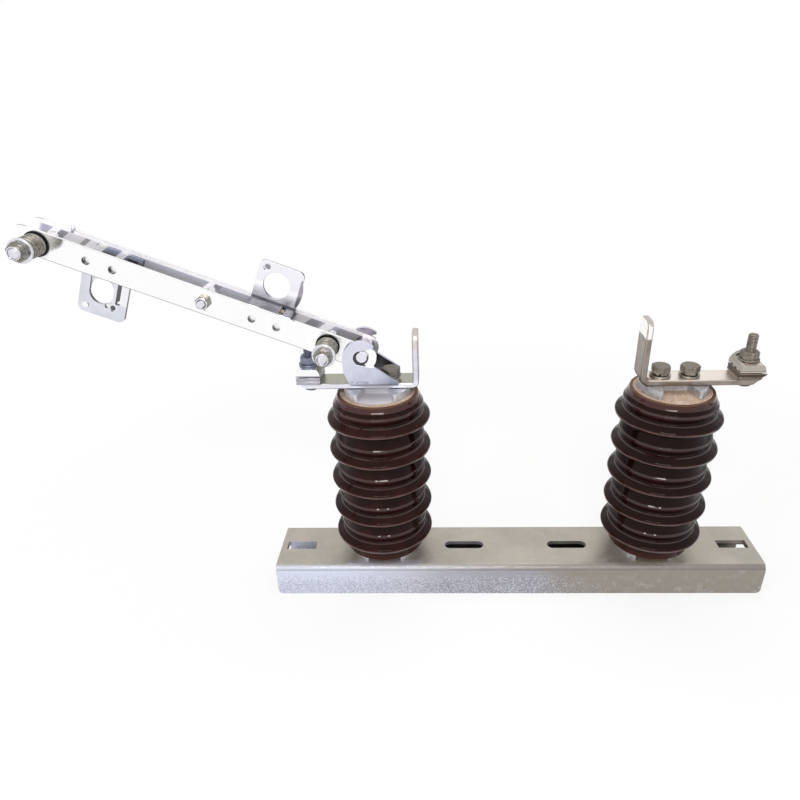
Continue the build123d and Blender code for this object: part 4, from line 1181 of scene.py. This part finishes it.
for end in ("heel", "tip"):
    place = middle_of(end + "_spring_nut") * [1, 0, 1]
    near, far = span(end + "_spring", 1)
    wire = skin(spring_wire(place, 7.1 * MM, 1.5 * MM, near, far, 4.6))
    piece_of(end + "_spring_wire", [wire], bare_wire, "blade", [end + "_spring"])
    print(end, "spring:", round((far - near) / MM, 1), "mm long")
    near, far = span(end + "_spring_washers", 1)
    plate = washer(place, SIDEWAYS, 4.3 * MM, 9.7 * MM, far - 1.6 * MM, far, 0.5 * MM)
    cup = washer(place, SIDEWAYS, 4.3 * MM, 9.3 * MM, near, near + 2.1 * MM, 0.8 * MM)
    # The contact plate is painted near black as painted shade.
    piece_of(end + "_contact_plate", [plate], shaded_plate_steel, "blade")
    piece_of(end + "_spring_cup", [cup], bright_zinc, "blade", [end + "_spring_washers"])
    collar = (BORE, 5.0 * MM, 5 * MM)
    lock_nut(end, place, end + "_spring_nut", 13 * MM, 5.5 * MM, BORE, collar)
    stud = (STUD, PITCH, 1.4 * MM, 13 * MM, 5.3 * MM)
    cross_stud(end + "_threaded_stud", place, end + "_spring_bolt", *stud)
# %% [markdown]
# A lighter bolt ties the strips together halfway along. It is the same idea with smaller numbers. A
# small peg stands on the back strip's upper edge.
# %% Middle bolt and peg
place = middle_of("middle_nut") * [1, 0, 1]
lock_nut("middle", place, "middle_nut", 10 * MM, 4 * MM, 3.1 * MM, (3.5 * MM, 4.6 * MM, 3.6 * MM))
cross_stud("middle_stud", place, "middle_bolt", 3 * MM, 1.0 * MM, 0.7 * MM, 10 * MM, 4 * MM)
peg_foot = (np.array([PIVOT[0], 12.6, PIVOT[1]]) + ALONG * 243) * MM
peg_radii = np.array([[1.9], [1.9], [1.5], [0.6]]) * MM
peg_heights = np.array([8, 12, 12.7, 12.9]) * MM
peg = rings(peg_foot, (ALONG, ACROSS, SIDEWAYS[1]), peg_radii, peg_heights)
piece_of("back_strip_peg", [skin(peg)], bright_zinc, "blade")
print("the middle bolt is", round(float(np.ptp(span("middle_bolt", 1))) / MM, 1), "mm long")
# %% [markdown]
# ## The solids that stay
#
# The cement rings, the pivot pin and the middle spacer already have the right shape, so they keep
# their solids and only get their finish. A crescent of painted shade darkens the pin's end at one
# side, where it sits in its seat.
# %% Finishes on the solids
shaded_pin = metal("pivot_pin_gap_shade", (222, 220, 228), (242, 240, 248), 0.25, 0.12, 4, relief=0.03)
px, _, pz = shaded_pin.axes()
px, pz = px - (PIVOT[0] + 0.7), pz - (PIVOT[1] + 0.9)
# Painted shade: a dark crescent at one side of the pin's end.
pin_gap_shade = (px * px + pz * pz).between(4.0**2, 4.5**2)
west, under = (0 - px).between(0.5, 2), (px - pz).between(3.0, 4.2)
shaded_pin.paint(pin_gap_shade * (west + under).between(0, 1) * 0.92, (48, 44, 46))
kept = {f"{side}_{end}_cement": cement for end in ("top", "bottom") for side in POSTS}
kept |= {"pivot_pin": shaded_pin, "middle_spacer": bright_zinc}
for node, finish in kept.items():
    solid = frame["nodes"][node]
    solid.data.materials.clear()
    solid.data.materials.append(finish.material)
shown = [n for n, o in frame["nodes"].items() if not o.hide_render]
print("solids that stay:", sorted(shown))
